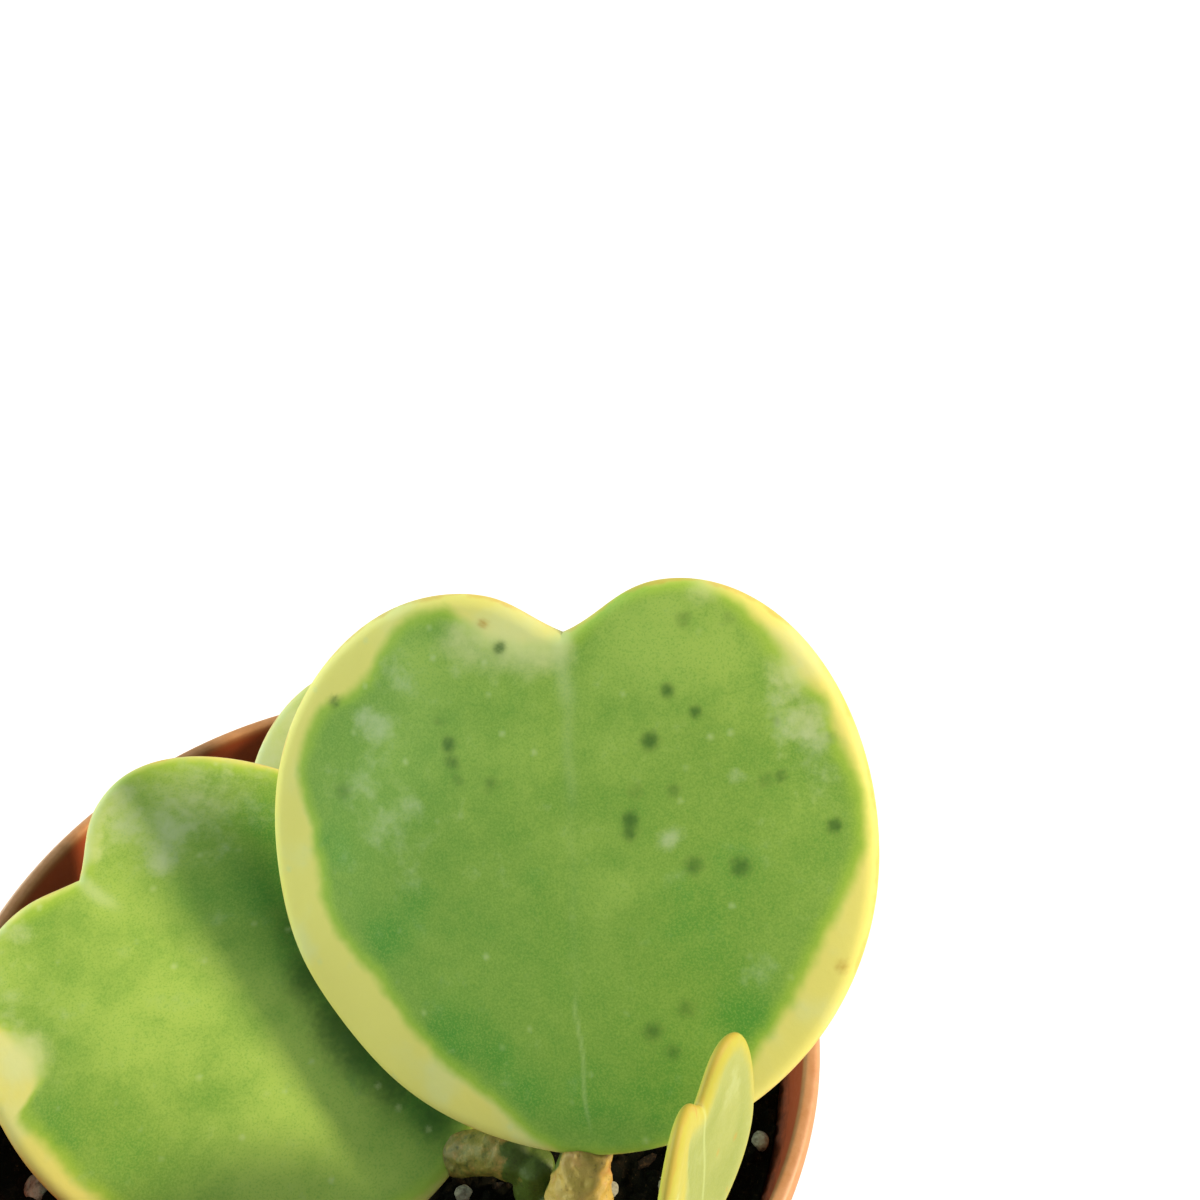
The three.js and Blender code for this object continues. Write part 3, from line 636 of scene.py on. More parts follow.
def expanded_perlite(look):
    """Expanded perlite: off-white volcanic glass foam, matt, pitted and stained by the peat."""
    # Its burst bubbles scatter the light, so the eye gets a dry chalky white with brown smears. Real
    # bubbles are 0.1 to 0.3 mm wide, too fine to show, and are drawn at 0.45 mm.
    material, tree, place, stain = new_material("expanded perlite", (1.2, 4, 0.65))
    pits = add(tree, "TexVoronoi", {"Vector": place, "Scale": 1 / (0.45 * MM)})
    return finish_material(material, look.perlite, [((stain, 0.45, 0.68, 0.85), look.perlite_stain)],
                           [(pits, 0.8, 0.15)], {"Roughness": 0.9, "Specular IOR Level": 0.3})


def dry_fibre(look):
    """Coir and bark bits: dry, dull brown, with a grain along them."""
    # Shredded and air-dry, they give the eye rough brown slivers that stand out from the wet peat.
    material, _, _, grain = new_material("coir fibre and bark", (0.5, 4, 0.7))
    return finish_material(material, look.fibre, [((grain, 0.5, 0.72, 0.6), look.fibre_pale)],
                           [(grain, 0.8, 0.12)], {"Roughness": 0.85, "Specular IOR Level": 0.2})


def leaf_wax(name, look, shades):
    """Hoya leaf skin: a smooth waxy cuticle grown over fleshy tissue, satin, and faintly see-through.

    The blade's own fields carry the pattern, in millimetres; noise makes its borders wander."""
    # The wax gives the eye a soft broad sheen, the wet flesh under it a faint inner glow, and the bloom and
    # dust on it pale cloudy patches; the haze patches are partly painted sheen, and some light, deep and dark
    # marks are painted light and shade. The stipple and pores of the real skin are about 0.03 mm, too fine to
    # show, and are drawn at 0.22 mm.
    details = {9: 1, 4.5: 3, 2.6: 2, 0.7: 3, 0.22: 3}  # by the noise's breadth
    material, tree, place, *fields = new_material(name, *((span, details[span], 0.6) for span in details))
    noise = dict(zip(details, fields))
    field = {title: add(tree, "Attribute", output="Fac", attribute_name=title)
             for title in ("margin", "edge", "rib", "under", *MARKS)}
    cells = add(tree, "TexVoronoi", {"Vector": place, "Scale": 1 / (2.8 * MM)}).node.outputs

    def mask(value, shares, start, full, top=1.0):
        """The value moved up and down by each noise, which stands about 0.5, times its share; then
        eased from 0 at start to top at full."""
        for span, share in shares.items():
            value = add(tree, "Math", {0: noise[span], 1: share, 2: value}, operation="MULTIPLY_ADD")
        if shares:
            value = add(tree, "Math", {0: value, 1: 0.5 * sum(shares.values())}, operation="SUBTRACT")
        return add(tree, "MapRange", {0: value, 1: start, 2: full, 3: 0.0, 4: top},
                   interpolation_type="SMOOTHSTEP")

    creamy = mask(noise[9], {2.6: 0.25}, 0.48, 0.72, 0.5)
    edging = add(tree, "Mix", {0: creamy, 6: opaque(shades["margin"]), 7: opaque(shades["margin_pale"])},
                 data_type="RGBA")
    dust = mask(cells["Distance"], {0.22: 0.25, 0.7: 0.15}, 0.22, 0, 0.42)
    flecks = add(tree, "Math", {0: dust, 1: mask(cells["Color"], {}, 0.5, 0.72)}, operation="MULTIPLY")
    rough = add(tree, "MapRange", {0: noise[0.7], 1: 0.3, 2: 0.7, 3: 0.5, 4: 0.6})
    return finish_material(material, shades["flesh"], [
        (mask(field["light"], {9: 1, 2.6: 0.5}, 0, 1), shades["light"]),
        (mask(field["deep"], {9: 1.1, 2.6: 0.8, 0.7: 0.2}, 0.1, 1, 0.85), shades["deep"]),
        (mask(noise[4.5], {0.7: 0.5}, 0.4, 0.8, 0.18), shades["light"]),  # small clouds, lighter and darker
        (mask(noise[4.5], {2.6: 0.4, 0.7: 0.3}, 0.6, 0.2, 0.22), shades["deep"]),
        (mask(noise[0.22], {}, 0.46, 0.66, 0.3), shades["light"]),  # stipple and pores
        (mask(noise[0.22], {}, 0.5, 0.34, 0.3), shades["deep"]),
        (mask(field["margin"], {9: 2, 2.6: 1.2}, 2.4, 0, 0.75), shades["lime"]),
        (mask(field["margin"], {9: 1.5, 2.6: 1.1}, 0.9, -0.7), edging),
        (mask(field["pale"], {2.6: 0.6, 0.7: 0.15}, 0.1, 1, 0.8), shades["margin_pale"]),
        # Haze: partly bloom, partly painted sheen and painted light.
        (mask(field["haze"], {0.7: 0.4, 2.6: 1.2, 4.5: 1.1}, 0.15, 1.3, 0.66), look.bloom_and_sheen),
        (mask(field["rib"], {}, 0.02, 1, 0.5), look.cream),
        # Dark dots, and on leaf_left the painted shade beside the right leaf.
        (mask(field["spots"], {0.7: 0.5, 0.22: 0.25}, 0.04, 0.9, 0.8), look.spot_and_shade),
        (mask(field["rust"], {0.7: 0.3}, 0.1, 0.8, 0.75), look.rust),
        (flecks, look.cream),
        (mask(field["under"], {9: 0.6, 2.6: 0.5, 0.7: 0.3}, 0.3, 1.4, 0.85), shades["under"]),
        (mask(field["edge"], {4.5: 1.6, 2.6: 0.4}, 0.4, 0, 0.45), shades["line"]),
    ], [(noise[0.22], 0.5, 0.02), (noise[2.6], 0.5, 0.12)], {
        "Roughness": rough, "IOR": 1.42, "Specular IOR Level": 0.22, "Subsurface Weight": 0.12,
        "Subsurface Radius": (0.9, 1.0, 0.3), "Subsurface Scale": 1.2 * MM})


def corky_bark(look):
    """Young hoya bark: green skin low down, and rough tan cork, pink where fresh, on the leaf stalks."""
    # Cork grows in flakes that split as the stalk thickens, so the eye gets a dull, broken tan with dark
    # cracks beside a smoother green. Its pale flakes are partly painted glints, and a darker colour round
    # each stalk's tip is painted shade under the blade.
    material, tree, _, patch, flake = new_material("corky vine bark", (3.2, 4, 0.6), (0.8, 5, 0.7))
    cork, crease = (add(tree, "Attribute", output="Fac", attribute_name=title)
                    for title in ("cork", "crease"))
    grown = add(tree, "Math", {0: flake, 1: 0.6, 2: cork}, operation="MULTIPLY_ADD")
    # pale: the pale flakes, partly painted glints.
    corked, fresh, pale = (add(tree, "MapRange", {0: value, 1: start, 2: full, 3: 0, 4: most})
                           for value, start, full, most in (
                               (grown, 0.55, 0.95, 1), (patch, 0.5, 0.68, 0.7), (flake, 0.6, 0.8, 0.7)))
    # The last of these is the painted shade round each stalk's tip, where it meets its blade.
    fresh, pale, shaded_joint = (add(tree, "Math", {0: one, 1: other}, operation="MULTIPLY")
                          for one, other in ((fresh, corked), (pale, corked), (crease, 0.75)))
    return finish_material(
        material, look.skin, [(corked, look.cork), (fresh, look.pink), (pale, look.flake),
                              ((flake, 0.42, 0.29, 0.7), look.crack), (shaded_joint, look.crease)],
        [(flake, 0.8, 0.2)], {"Roughness": 0.5, "Specular IOR Level": 0.4})


def painted_floor(look):
    """A matt painted board: pale, with the faintest roller texture."""
    # Matt paint sends the light back evenly, so the eye gets a plain pale ground with soft shadows.
    material, _, _, nap = new_material("matt painted board", (2, 2, 0.5))
    return finish_material(material, look.floor, [], [(nap, 0.2, 0.02)],
                           {"Roughness": 0.9, "Specular IOR Level": 0.2})


# ---------------------------------------------------------------- pot


def wall_radius(height):
    """Radius of the pot's outer wall, which widens evenly up to the shoulder."""
    top = POT["height"] - POT["collar_height"]
    upper = POT["lip_radius"] - POT["shoulder"]
    return POT["foot_radius"] + (upper - POT["foot_radius"]) * (height / top)


def pot_profile(wall):
    """The pot's section: out under the foot, up the outside, over the lip and down the inside. Also how
    many of its points lie on the outside."""
    height, lip, bulge = POT["height"], POT["lip_radius"], POT["lip_bulge"]
    collar_foot = height - POT["collar_height"]
    inner = lip - POT["lip_width"]
    pad, foot, rise = POT["pad_radius"], POT["foot_radius"], POT["drain_rise"]
    floor = rise + POT["floor"]
    outside = [
        (0, 0), (pad, 0), (pad + 1, rise), (foot - POT["foot_width"] - 0.8, rise),
        (foot - POT["foot_width"], 0), (foot - 0.6, 0), (foot, 0.8),
        (wall_radius(collar_foot), collar_foot), (lip - 0.3, collar_foot + 0.6), (lip - 0.2, height - 3.4),
        (lip + bulge, height - 2.2), (lip + bulge, height - 1.1), (lip + 0.2, height - 0.25),
        (lip - 0.3, height),
    ]
    inside = [
        (inner + 0.3, height), (inner, height - 0.4), (inner - 0.3, collar_foot + 2.2),
        (wall_radius(collar_foot) - wall, collar_foot - POT["shoulder"] / 2),
        (wall_radius(floor) - wall, floor + 1), (foot - 3, floor), (pad + 0.4, floor),
        (pad - 1.2, POT["floor"]), (0, POT["floor"]),
    ]
    corner = POT["corner"]
    return eased(outside + inside, corner), len(eased(outside + inside[:1], corner))


def drain_drills():
    """One joined mesh of upright rods where the drain holes go: circles carried up a short way."""
    reach = (POT["pad_radius"] + POT["foot_radius"] - POT["foot_width"]) / 2
    angle = (np.arange(POT["drain_holes"]) + 0.5) * 2 * np.pi / POT["drain_holes"]
    low, high = -2, 8  # the rods pass right through the pot's floor
    radius = POT["drain_hole_radius"]
    points, faces = closed_skin(turned(np.array([(0, low), (radius, low), (radius, high), (0, high)]), 48))
    middles = np.stack([reach * np.cos(angle), reach * np.sin(angle), 0 * angle], axis=-1)
    every = (points[None] + middles[:, None]).reshape(-1, 3)
    shifted = [[corner + hole * len(points) for corner in face]
               for hole in range(len(middles)) for face in faces]
    return new_piece("drain_drills", every, shifted)


class AddPot(bpy.types.Operator):
    """Turn the nursery pot and cut its drain holes"""

    bl_idname = "hoya.add_pot"
    bl_label = "Nursery pot"

    def execute(self, context):
        look = context.scene.hoya_pot
        profile, outside = pot_profile(look.wall / MM)
        points, faces = closed_skin(turned(profile, look.segments))
        pot = new_piece("pot_shell", points, faces)
        drills = drain_drills()
        cut = pot.modifiers.new("drain holes", "BOOLEAN")
        cut.operation = "DIFFERENCE"
        cut.solver = "EXACT"
        cut.object = drills
        applied(pot)
        bpy.data.objects.remove(drills)
        pot.data.set_sharp_from_angle(angle=math.radians(POT["sharp"]))
        place = mesh_points(pot.data)
        radius = np.hypot(place[:, 0], place[:, 1])
        outer = np.interp(place[:, 2], profile[:outside, 1], profile[:outside, 0])
        inside = (radius < outer - POT["skin"]) & (place[:, 2] > POT["floor"])
        set_fields(pot.data, {"inside": inside})
        settle(pot, "pot_plastic", moulded_polypropylene(look), "pot")
        return {"FINISHED"}


# ---------------------------------------------------------------- soil


def soil_height(x, y):
    """Height of the soil: a low mound with large crumbs drawn by crossed waves, as in the solid."""
    reach = wall_radius(SOIL["top"]) - POT["wall"]
    mound = SOIL["mound"] * (1 - (x * x + y * y) / (reach * reach))
    coarse = np.sin(0.43 * x + 1.3) * np.sin(0.39 * y + 0.4)
    fine = np.sin(0.97 * x - 0.5 * y) * np.cos(0.88 * y + 0.37 * x)
    return SOIL["top"] + mound + SOIL["relief"] * (0.6 * coarse + 0.4 * fine)


def soil_bed(relief):
    """The soil's skin: up the inside of the pot, then rings shrinking to the middle, with crumbs.

    The crumbs are the size of two random fields; the ridges where they change sign make the gaps."""
    under = [(0, 1.9), (19.5, 1.9), (21.2, 4.5), (33.5, 4.5), (SOIL["foot_radius"], SOIL["foot_height"])]
    wall = [(wall_radius(z) - POT["wall"] - SOIL["clearance"], z) for z in (20, 40, 60, 74)]
    rings = np.linspace(1, 0, SOIL["rings"])
    top = np.stack([SOIL["edge_radius"] * rings, np.full_like(rings, SOIL["top"])], axis=-1)
    shoulder = [(SOIL["edge_radius"] - SOIL["clearance"], SOIL["top"] - 1)]
    grid = turned(np.concatenate([under, wall, shoulder, top]), SOIL["around"])
    crumbled = grid[-len(top):]
    flat = crumbled[..., :2].reshape(-1, 2)
    coarse, fine = (np.abs(swells(flat, SOIL[name], seed)) for name, seed in (("coarse", 21), ("fine", 22)))
    height = soil_height(flat[:, 0], flat[:, 1]) + relief * (0.9 * coarse + 0.6 * fine - 0.9)
    crumbled[..., 2] = height.reshape(crumbled.shape[:2])
    crumbled[-1] = crumbled[-1].mean(axis=0)
    return closed_skin(grid)


def lumps(middles, sizes, stretch, draw, rings, around, bumps):
    """Points and faces of many small lumps: balls whose radius a random field bends, each turned its own way.

    The balls take the field far apart from each other, so that no two are bent alike."""
    ball_rings = np.linspace(0, np.pi, rings)
    profile = np.stack([np.sin(ball_rings), -np.cos(ball_rings)], axis=-1)
    ball, faces = closed_skin(turned(profile, around))
    count = len(middles)
    turns = np.linalg.qr(draw.normal(size=(count, 3, 3)))[0]
    turns *= np.sign(np.linalg.det(turns))[:, None, None]
    apart = ball[None] + 9 * np.arange(count)[:, None, None]
    radius = 1 + bumps * swells(apart.reshape(-1, 3), 2.2, 31).reshape(count, -1, 1)
    shape = ball[None] * radius * sizes[:, None, None] * stretch[:, None]
    points = np.einsum("nij,nkj->nki", turns, shape) + middles[:, None]
    step = (np.arange(count) * len(ball))[:, None, None]
    every = []
    for corners in (4, 3):
        group = np.array([face for face in faces if len(face) == corners])
        every += (group[None] + step).reshape(-1, corners).tolist()
    return points.reshape(-1, 3), every


def seeded_shares(seed):
    """Numbers from 0 to 1, the same series that places the solid's grains: each is a whole number's share
    of the largest, and the next whole number is a multiple of it plus a constant, less the overflow."""
    state, multiple, constant, largest = seed, 1664525, 1013904223, 2 ** 32
    while True:
        state = (state * multiple + constant) % largest
        yield state / largest


def perlite_places():
    """Middle and size of each perlite grain, where the solids have them."""
    shares = seeded_shares(PERLITE["seed"])
    reach = wall_radius(SOIL["top"]) - POT["wall"] - PERLITE["largest"] - 1.2
    stems = [MAIN_STEM[0], BACK_PETIOLE[0], YOUNG_SHOOT[0]]
    found = [(x, y, size, size) for x, y, size in SHOWN_PERLITE]
    for _ in range(PERLITE["grains"]):
        size_share, _, _, _, turn, out = (next(shares) for _ in range(6))
        size = PERLITE["smallest"] + (PERLITE["largest"] - PERLITE["smallest"]) * size_share
        angle, radius = turn * 2 * math.pi, reach * math.sqrt(out)
        x, y = radius * math.cos(angle), radius * math.sin(angle)
        if all(math.hypot(x - sx, y - sy) > stem + 0.5 + size + 1 for sx, sy, _, stem in stems):
            found.append((x, y, size, size * 0.85))
    found = np.array(found)
    height = soil_height(found[:, 0], found[:, 1]) + 0.2 * found[:, 3]
    return np.column_stack([found[:, :2], height]), found[:, 3]


def scattered(draw, count, reach):
    """Random places on the soil within reach of the middle, spread evenly."""
    angle = draw.uniform(0, 2 * np.pi, count)
    radius = reach * np.sqrt(draw.uniform(0, 1, count))
    x, y = radius * np.cos(angle), radius * np.sin(angle)
    return np.column_stack([x, y, soil_height(x, y)])


def strewn(name, draw, count, placed=None):
    """Loose bits: those already placed, as (middles, sizes), and then count more at random on the bed."""
    kind = LOOSE[name]
    middles = scattered(draw, count, SOIL["edge_radius"] - kind["inset"]) + (0, 0, kind["lift"])
    sizes = draw.uniform(*kind["sizes"], count)
    if placed:
        middles, sizes = np.concatenate([placed[0], middles]), np.concatenate([placed[1], sizes])
    stretch = draw.uniform(*kind["stretch"], (len(middles), 3))
    return lumps(middles, sizes, stretch, draw, kind["rings"], kind["around"], kind["bumps"])


class AddSoil(bpy.types.Operator):
    """Fill the pot with crumbly peat mix, perlite grains and bits of bark"""

    bl_idname = "hoya.add_soil"
    bl_label = "Potting mix"

    def execute(self, context):
        look = context.scene.hoya_soil
        peat = moist_peat(look)
        settle(new_piece("soil_bed", *soil_bed(look.relief / MM)), "potting_soil", peat, "soil")
        draw = np.random.default_rng(LOOSE_SEED)
        for name, count, placed, material in (
                ("perlite_grains", SMALL_PERLITE, perlite_places(), expanded_perlite(look)),
                ("peat_crumbs", look.crumbs, None, peat),
                ("bark_bits", BARK_BITS, None, dry_fibre(look))):
            points, faces = strewn(name, draw, count, placed)
            if name == "bark_bits":
                points[:, 2] = np.minimum(points[:, 2], SOIL["top"] + BARK_BITS_TOP)
            settle(new_piece(name, points, faces), "potting_soil", material)
        return {"FINISHED"}


# ---------------------------------------------------------------- leaves


def bezier(corners, steps):
    """A cubic Bézier curve through its first and last corner, as evenly stepped points."""
    corners = np.array(corners)
    share = np.linspace(0, 1, steps)[:, None]
    weights = np.concatenate([(1 - share) ** 3, 3 * (1 - share) ** 2 * share,
                              3 * (1 - share) * share ** 2, share ** 3], axis=1)
    return weights @ corners


def half_outline(leaf, key, side, count):
    """One half of the heart as evenly spaced points: three cubic curves, from the base out to the
    widest point, up to the top of the lobe, and back down to the notch."""
    width, side_v, lobe_u, lobe_v = (leaf[key][size] for size in ("width", "side", "lobe_u", "lobe_v"))
    low, high = math.radians(leaf["base_angle"]), math.radians(leaf["notch_angle"])
    pull, dip = 0.55 * width, 0.4 * lobe_u
    parts = [
        [(0, 0), (pull * math.cos(low), pull * math.sin(low)), (width, 0.45 * side_v), (width, side_v)],
        [(width, side_v), (width, side_v + 0.55 * (lobe_v - side_v)),
         (lobe_u + 0.55 * (width - lobe_u), lobe_v), (lobe_u, lobe_v)],
        [(lobe_u, lobe_v), (0.5 * lobe_u, lobe_v),
         (dip * math.cos(high), leaf["notch"] + dip * math.sin(high)), (0, leaf["notch"])],
    ]
    steps = 200  # of each curve, before the whole outline is spaced evenly
    curve = np.concatenate([bezier(part, steps) for part in parts])
    walked = np.concatenate([[0], np.cumsum(np.hypot(*np.diff(curve, axis=0).T))])
    even = np.linspace(0, walked[-1], count + 1)
    u, v = (np.interp(even, walked, curve[:, axis]) for axis in (0, 1))
    return np.column_stack([side * u, v])


def to_outline(points, outline):
    """Distance from each point to the nearest stretch of the outline, and how far along it that is."""
    start, step = outline[:-1], np.diff(outline, axis=0)
    away = points[..., None, :] - start
    share = np.clip((away * step).sum(-1) / (step ** 2).sum(-1), 0, 1)
    gap = np.linalg.norm(away - share[..., None] * step, axis=-1)
    nearest = gap.argmin(axis=-1)
    pick = nearest[..., None]
    along = (nearest + np.take_along_axis(share, pick, -1)[..., 0]) / len(step)
    return np.take_along_axis(gap, pick, -1)[..., 0], along


def patches(flat, marks):
    """Soft round patches: together they cover 1 minus the product of what each leaves bare."""
    bare = np.ones(flat.shape[:-1])
    for u, v, radius, strength in marks:
        distance = np.hypot(flat[..., 0] - u, flat[..., 1] - v)
        bare *= 1 - strength * np.exp(-(distance / radius) ** 2)
    return 1 - bare


def half_blade(leaf, side):
    """Plane points of one half of a blade and its fields; rows join the midrib to the outline.

    Along a row the points are even up to the rim, then closer and closer together, as a quarter
    circle's are, so that the rounded edge stays smooth."""
    key = "right" if side > 0 else "left"
    outline = half_outline(leaf, key, side, BLADE["rows"])
    midrib = np.column_stack([np.zeros(len(outline)), np.linspace(0, leaf["notch"], len(outline))])
    span = np.maximum(np.linalg.norm(outline - midrib, axis=1), 1e-6)
    rim = np.minimum(BLADE["edge_round"] / span, 0.35)[:, None]
    inner = np.linspace(0, 1, BLADE["inner"], endpoint=False) * (1 - rim)
    curl = np.sin(np.linspace(0, np.pi / 2, BLADE["rim"] + 1))
    share = np.concatenate([inner, 1 - rim * (1 - curl)], axis=1)[..., None]
    flat = midrib[:, None] * (1 - share) + outline[:, None] * share
    distance, along = to_outline(flat, outline)
    stations = np.array(leaf["margins"][key])
    width = np.interp(along, stations[:, 0], stations[:, 1])
    return flat, distance, distance - width


def blade_height(leaf, flat):
    """Height of the blade's middle layer over its plane: domed across, bent along, folded at the midrib,
    and wavy towards the edges."""
    u, v = flat[..., 0], flat[..., 1]
    half_width = (leaf["right"]["width"] + leaf["left"]["width"]) / 2
    dome = -leaf["dome"] * (np.abs(u) / half_width) ** 2.2
    bend = leaf["bend"] * (v / leaf["notch"]) ** 2
    fold = leaf["fold"] * (np.hypot(u, 3) - 3)
    waves = BLADE["wave_height"] * leaf["notch"] * np.clip(np.abs(u) / half_width, 0, 1)
    waves = waves * swells(flat, BLADE["wave"], leaf["seed"], BLADE["waves"]) / 2
    return dome + bend + fold + waves


def leaf_axes(leaf):
    """Directions across the blade, along its midrib and out of its face."""
    heading, rise, roll = (math.radians(leaf[key]) for key in ("heading", "rise", "roll"))
    ahead = np.array([math.cos(heading), math.sin(heading), 0])
    along = math.cos(rise) * ahead + (0, 0, math.sin(rise))
    level = -math.sin(rise) * ahead + (0, 0, math.cos(rise))
    sideways = np.cross(along, level)
    across = sideways * math.cos(roll) - level * math.sin(roll)
    normal = level * math.cos(roll) + sideways * math.sin(roll)
    return np.stack([across, along, normal])


def blade(leaf, plump):
    """A leaf blade as a closed skin of rings, each over the top from edge to edge and back below.

    Half the thickness over the last stretch to the edge follows a quarter ellipse. A shallow
    channel marks the midrib above, and a low rib below."""
    right, right_gap, right_margin = half_blade(leaf, 1)
    left, left_gap, left_margin = half_blade(leaf, -1)
    both = [np.concatenate([a[:, ::-1], b[:, 1:]], axis=1)
            for a, b in ((left, right), (left_gap, right_gap), (left_margin, right_margin))]
    flat, gap, margin = both
    inward = 1 - np.clip(gap / BLADE["edge_round"], 0, 1)
    half = plump * leaf["thickness"] / 2 * np.sqrt(np.clip(1 - inward ** 2, 0, 1))
    half[:, 0] = half[:, -1] = 0
    fade = smooth(0, 4, gap)
    across = np.abs(flat[..., 0])
    channel, keel = (depth * np.exp(-(across / width) ** 2) * fade
                     for depth, width in (BLADE["channel"], BLADE["keel"]))
    channel = channel * smooth(0.3, 1, flat[..., 1] / leaf["notch"])
    keel = keel * smooth(leaf["notch"], 0.2 * leaf["notch"], flat[..., 1])
    middle = blade_height(leaf, flat)
    top = np.concatenate([flat, (middle + half - channel)[..., None]], axis=-1)
    below = np.concatenate([flat, (middle - half - keel)[..., None]], axis=-1)

    def ring(above, under):
        """Values over the top, then the inner ones below in the opposite order."""
        return np.concatenate([above, under[:, -2:0:-1]], axis=1)

    grid = ring(top, below) @ leaf_axes(leaf) + np.array(leaf["base"])
    points, faces = closed_skin(grid)
    under = ring(np.zeros_like(gap), np.ones_like(gap))
    rib = np.zeros_like(gap)
    for low, high, low_u, high_u, width, strength in leaf["rib"]:
        centre = np.interp(flat[..., 1], (low, high), (low_u, high_u)) + 0.15 * np.sin(flat[..., 1] * 0.7)
        line = np.exp(-((flat[..., 0] - centre) / width) ** 2)
        ends = smooth(low - 2, low + 3, flat[..., 1]) * smooth(high + 3, high - 1, flat[..., 1])
        rib = np.maximum(rib, strength * line * ends)
    fields = {"margin": margin, "edge": gap, "rib": rib,
              **{mark: patches(flat, leaf.get(mark, ())) for mark in MARKS}}
    ringed = {name: ring(values, values) for name, values in fields.items()}
    ringed["under"] = under

    def on_skin(values):
        """Field values in the order of the closed skin's points."""
        return np.concatenate([values[0, :1], values[1:-1].ravel(), values[-1, :1]])

    return points, faces, {name: on_skin(values) for name, values in ringed.items()}


class AddLeaves(bpy.types.Operator):
    """Shape the three grown leaves and the young one, with their variegated margins"""

    bl_idname = "hoya.add_leaves"
    bl_label = "Leaves"

    def execute(self, context):
        look = context.scene.hoya_leaf
        grown = leaf_wax("waxy hoya leaf", look, {
            "flesh": look.green, "light": look.light_green, "deep": look.deep_green, "lime": look.lime,
            "margin": look.yellow, "margin_pale": look.yellow_pale, "line": look.edge, "under": look.bloom_and_sheen})
        fresh = leaf_wax("young hoya leaf", look, {
            "flesh": look.young, "light": look.young_pale, "deep": look.young, "lime": look.young_pale,
            "margin": look.young_edge, "margin_pale": look.young_pale, "line": look.young_line,
            "under": look.young_edge})
        for leaf in (LEAF_RIGHT, LEAF_LEFT, LEAF_BACK, LEAF_YOUNG):
            points, faces, fields = blade(leaf, look.plump)
            piece = new_piece(leaf["name"], points, faces)
            set_fields(piece.data, fields)
            slot, skin = ("leaf_yellow", fresh) if leaf is LEAF_YOUNG else ("leaf_green", grown)
            settle(piece, slot, skin, leaf["node"])
        return {"FINISHED"}


# ---------------------------------------------------------------- stems


def limb(stations, around=40, spacing=0.25, bulge=0.6):
    """A round limb: a circle carried along a cubic curve through the stations, with domed ends.

    Between two stations the curve is a Hermite cubic whose end slopes are half the step between
    the neighbours, and the radius eases from one to the other. bulge is a dome's height over its radius."""
    stations = np.array(stations, float)
    middle, radius = stations[:, :3], stations[:, 3]
    slopes = np.gradient(middle, axis=0)
    steps = int(np.linalg.norm(np.diff(middle, axis=0), axis=1).sum() / spacing)
    place = np.linspace(0, len(middle) - 1, steps)
    k = np.minimum(place.astype(int), len(middle) - 2)
    t = (place - k)[:, None]
    path = ((2 * t ** 3 - 3 * t ** 2 + 1) * middle[k] + (t ** 3 - 2 * t ** 2 + t) * slopes[k]
            + (3 * t ** 2 - 2 * t ** 3) * middle[k + 1] + (t ** 3 - t ** 2) * slopes[k + 1])
    ease = smooth(0, 1, t[:, 0])
    wide = radius[k] * (1 - ease) + radius[k + 1] * ease
    tangent = np.gradient(path, axis=0)
    tangent /= np.linalg.norm(tangent, axis=1, keepdims=True)
    reference = np.array([0.3, 0.25, 0.92])  # a direction that no limb runs along
    first = np.cross(tangent, reference)
    first /= np.linalg.norm(first, axis=1, keepdims=True)
    second = np.cross(tangent, first)
    angle = np.arange(around) * 2 * np.pi / around
    circle = (first[:, None] * np.cos(angle)[None, :, None] + second[:, None] * np.sin(angle)[None, :, None])
    tube = path[:, None] + circle * wide[:, None, None]
    bow = np.linspace(0, np.pi / 2, 7)[1:]

    def dome(end, outward):
        """Rings that shrink as a quarter circle's do, while they move outward by the dome's height."""
        return (path[end] + circle[end] * (wide[end] * np.cos(bow))[:, None, None]
                + (bulge * wide[end] * np.sin(bow))[:, None, None] * outward)

    return np.concatenate([dome(0, -tangent[0])[::-1], tube, dome(-1, tangent[-1])])


def fused(name, limbs):
    """One skin over several limbs, which a voxel remesh melts together where they meet."""
    points, faces = [], []
    for stations in limbs:
        skin_points, skin_faces = closed_skin(limb(stations))
        offset = sum(len(part) for part in points)
        faces += [[corner + offset for corner in face] for face in skin_faces]
        points.append(skin_points)
    piece = new_piece(name, np.concatenate(points), faces)
    melt = piece.modifiers.new("melt", "REMESH")
    melt.mode = "VOXEL"
    melt.voxel_size = MELT["voxel"] * MM
    even = piece.modifiers.new("even", "SMOOTH")
    even.factor = MELT["ease"]
    even.iterations = MELT["passes"]
    applied(piece)
    piece.data.shade_smooth()
    return piece


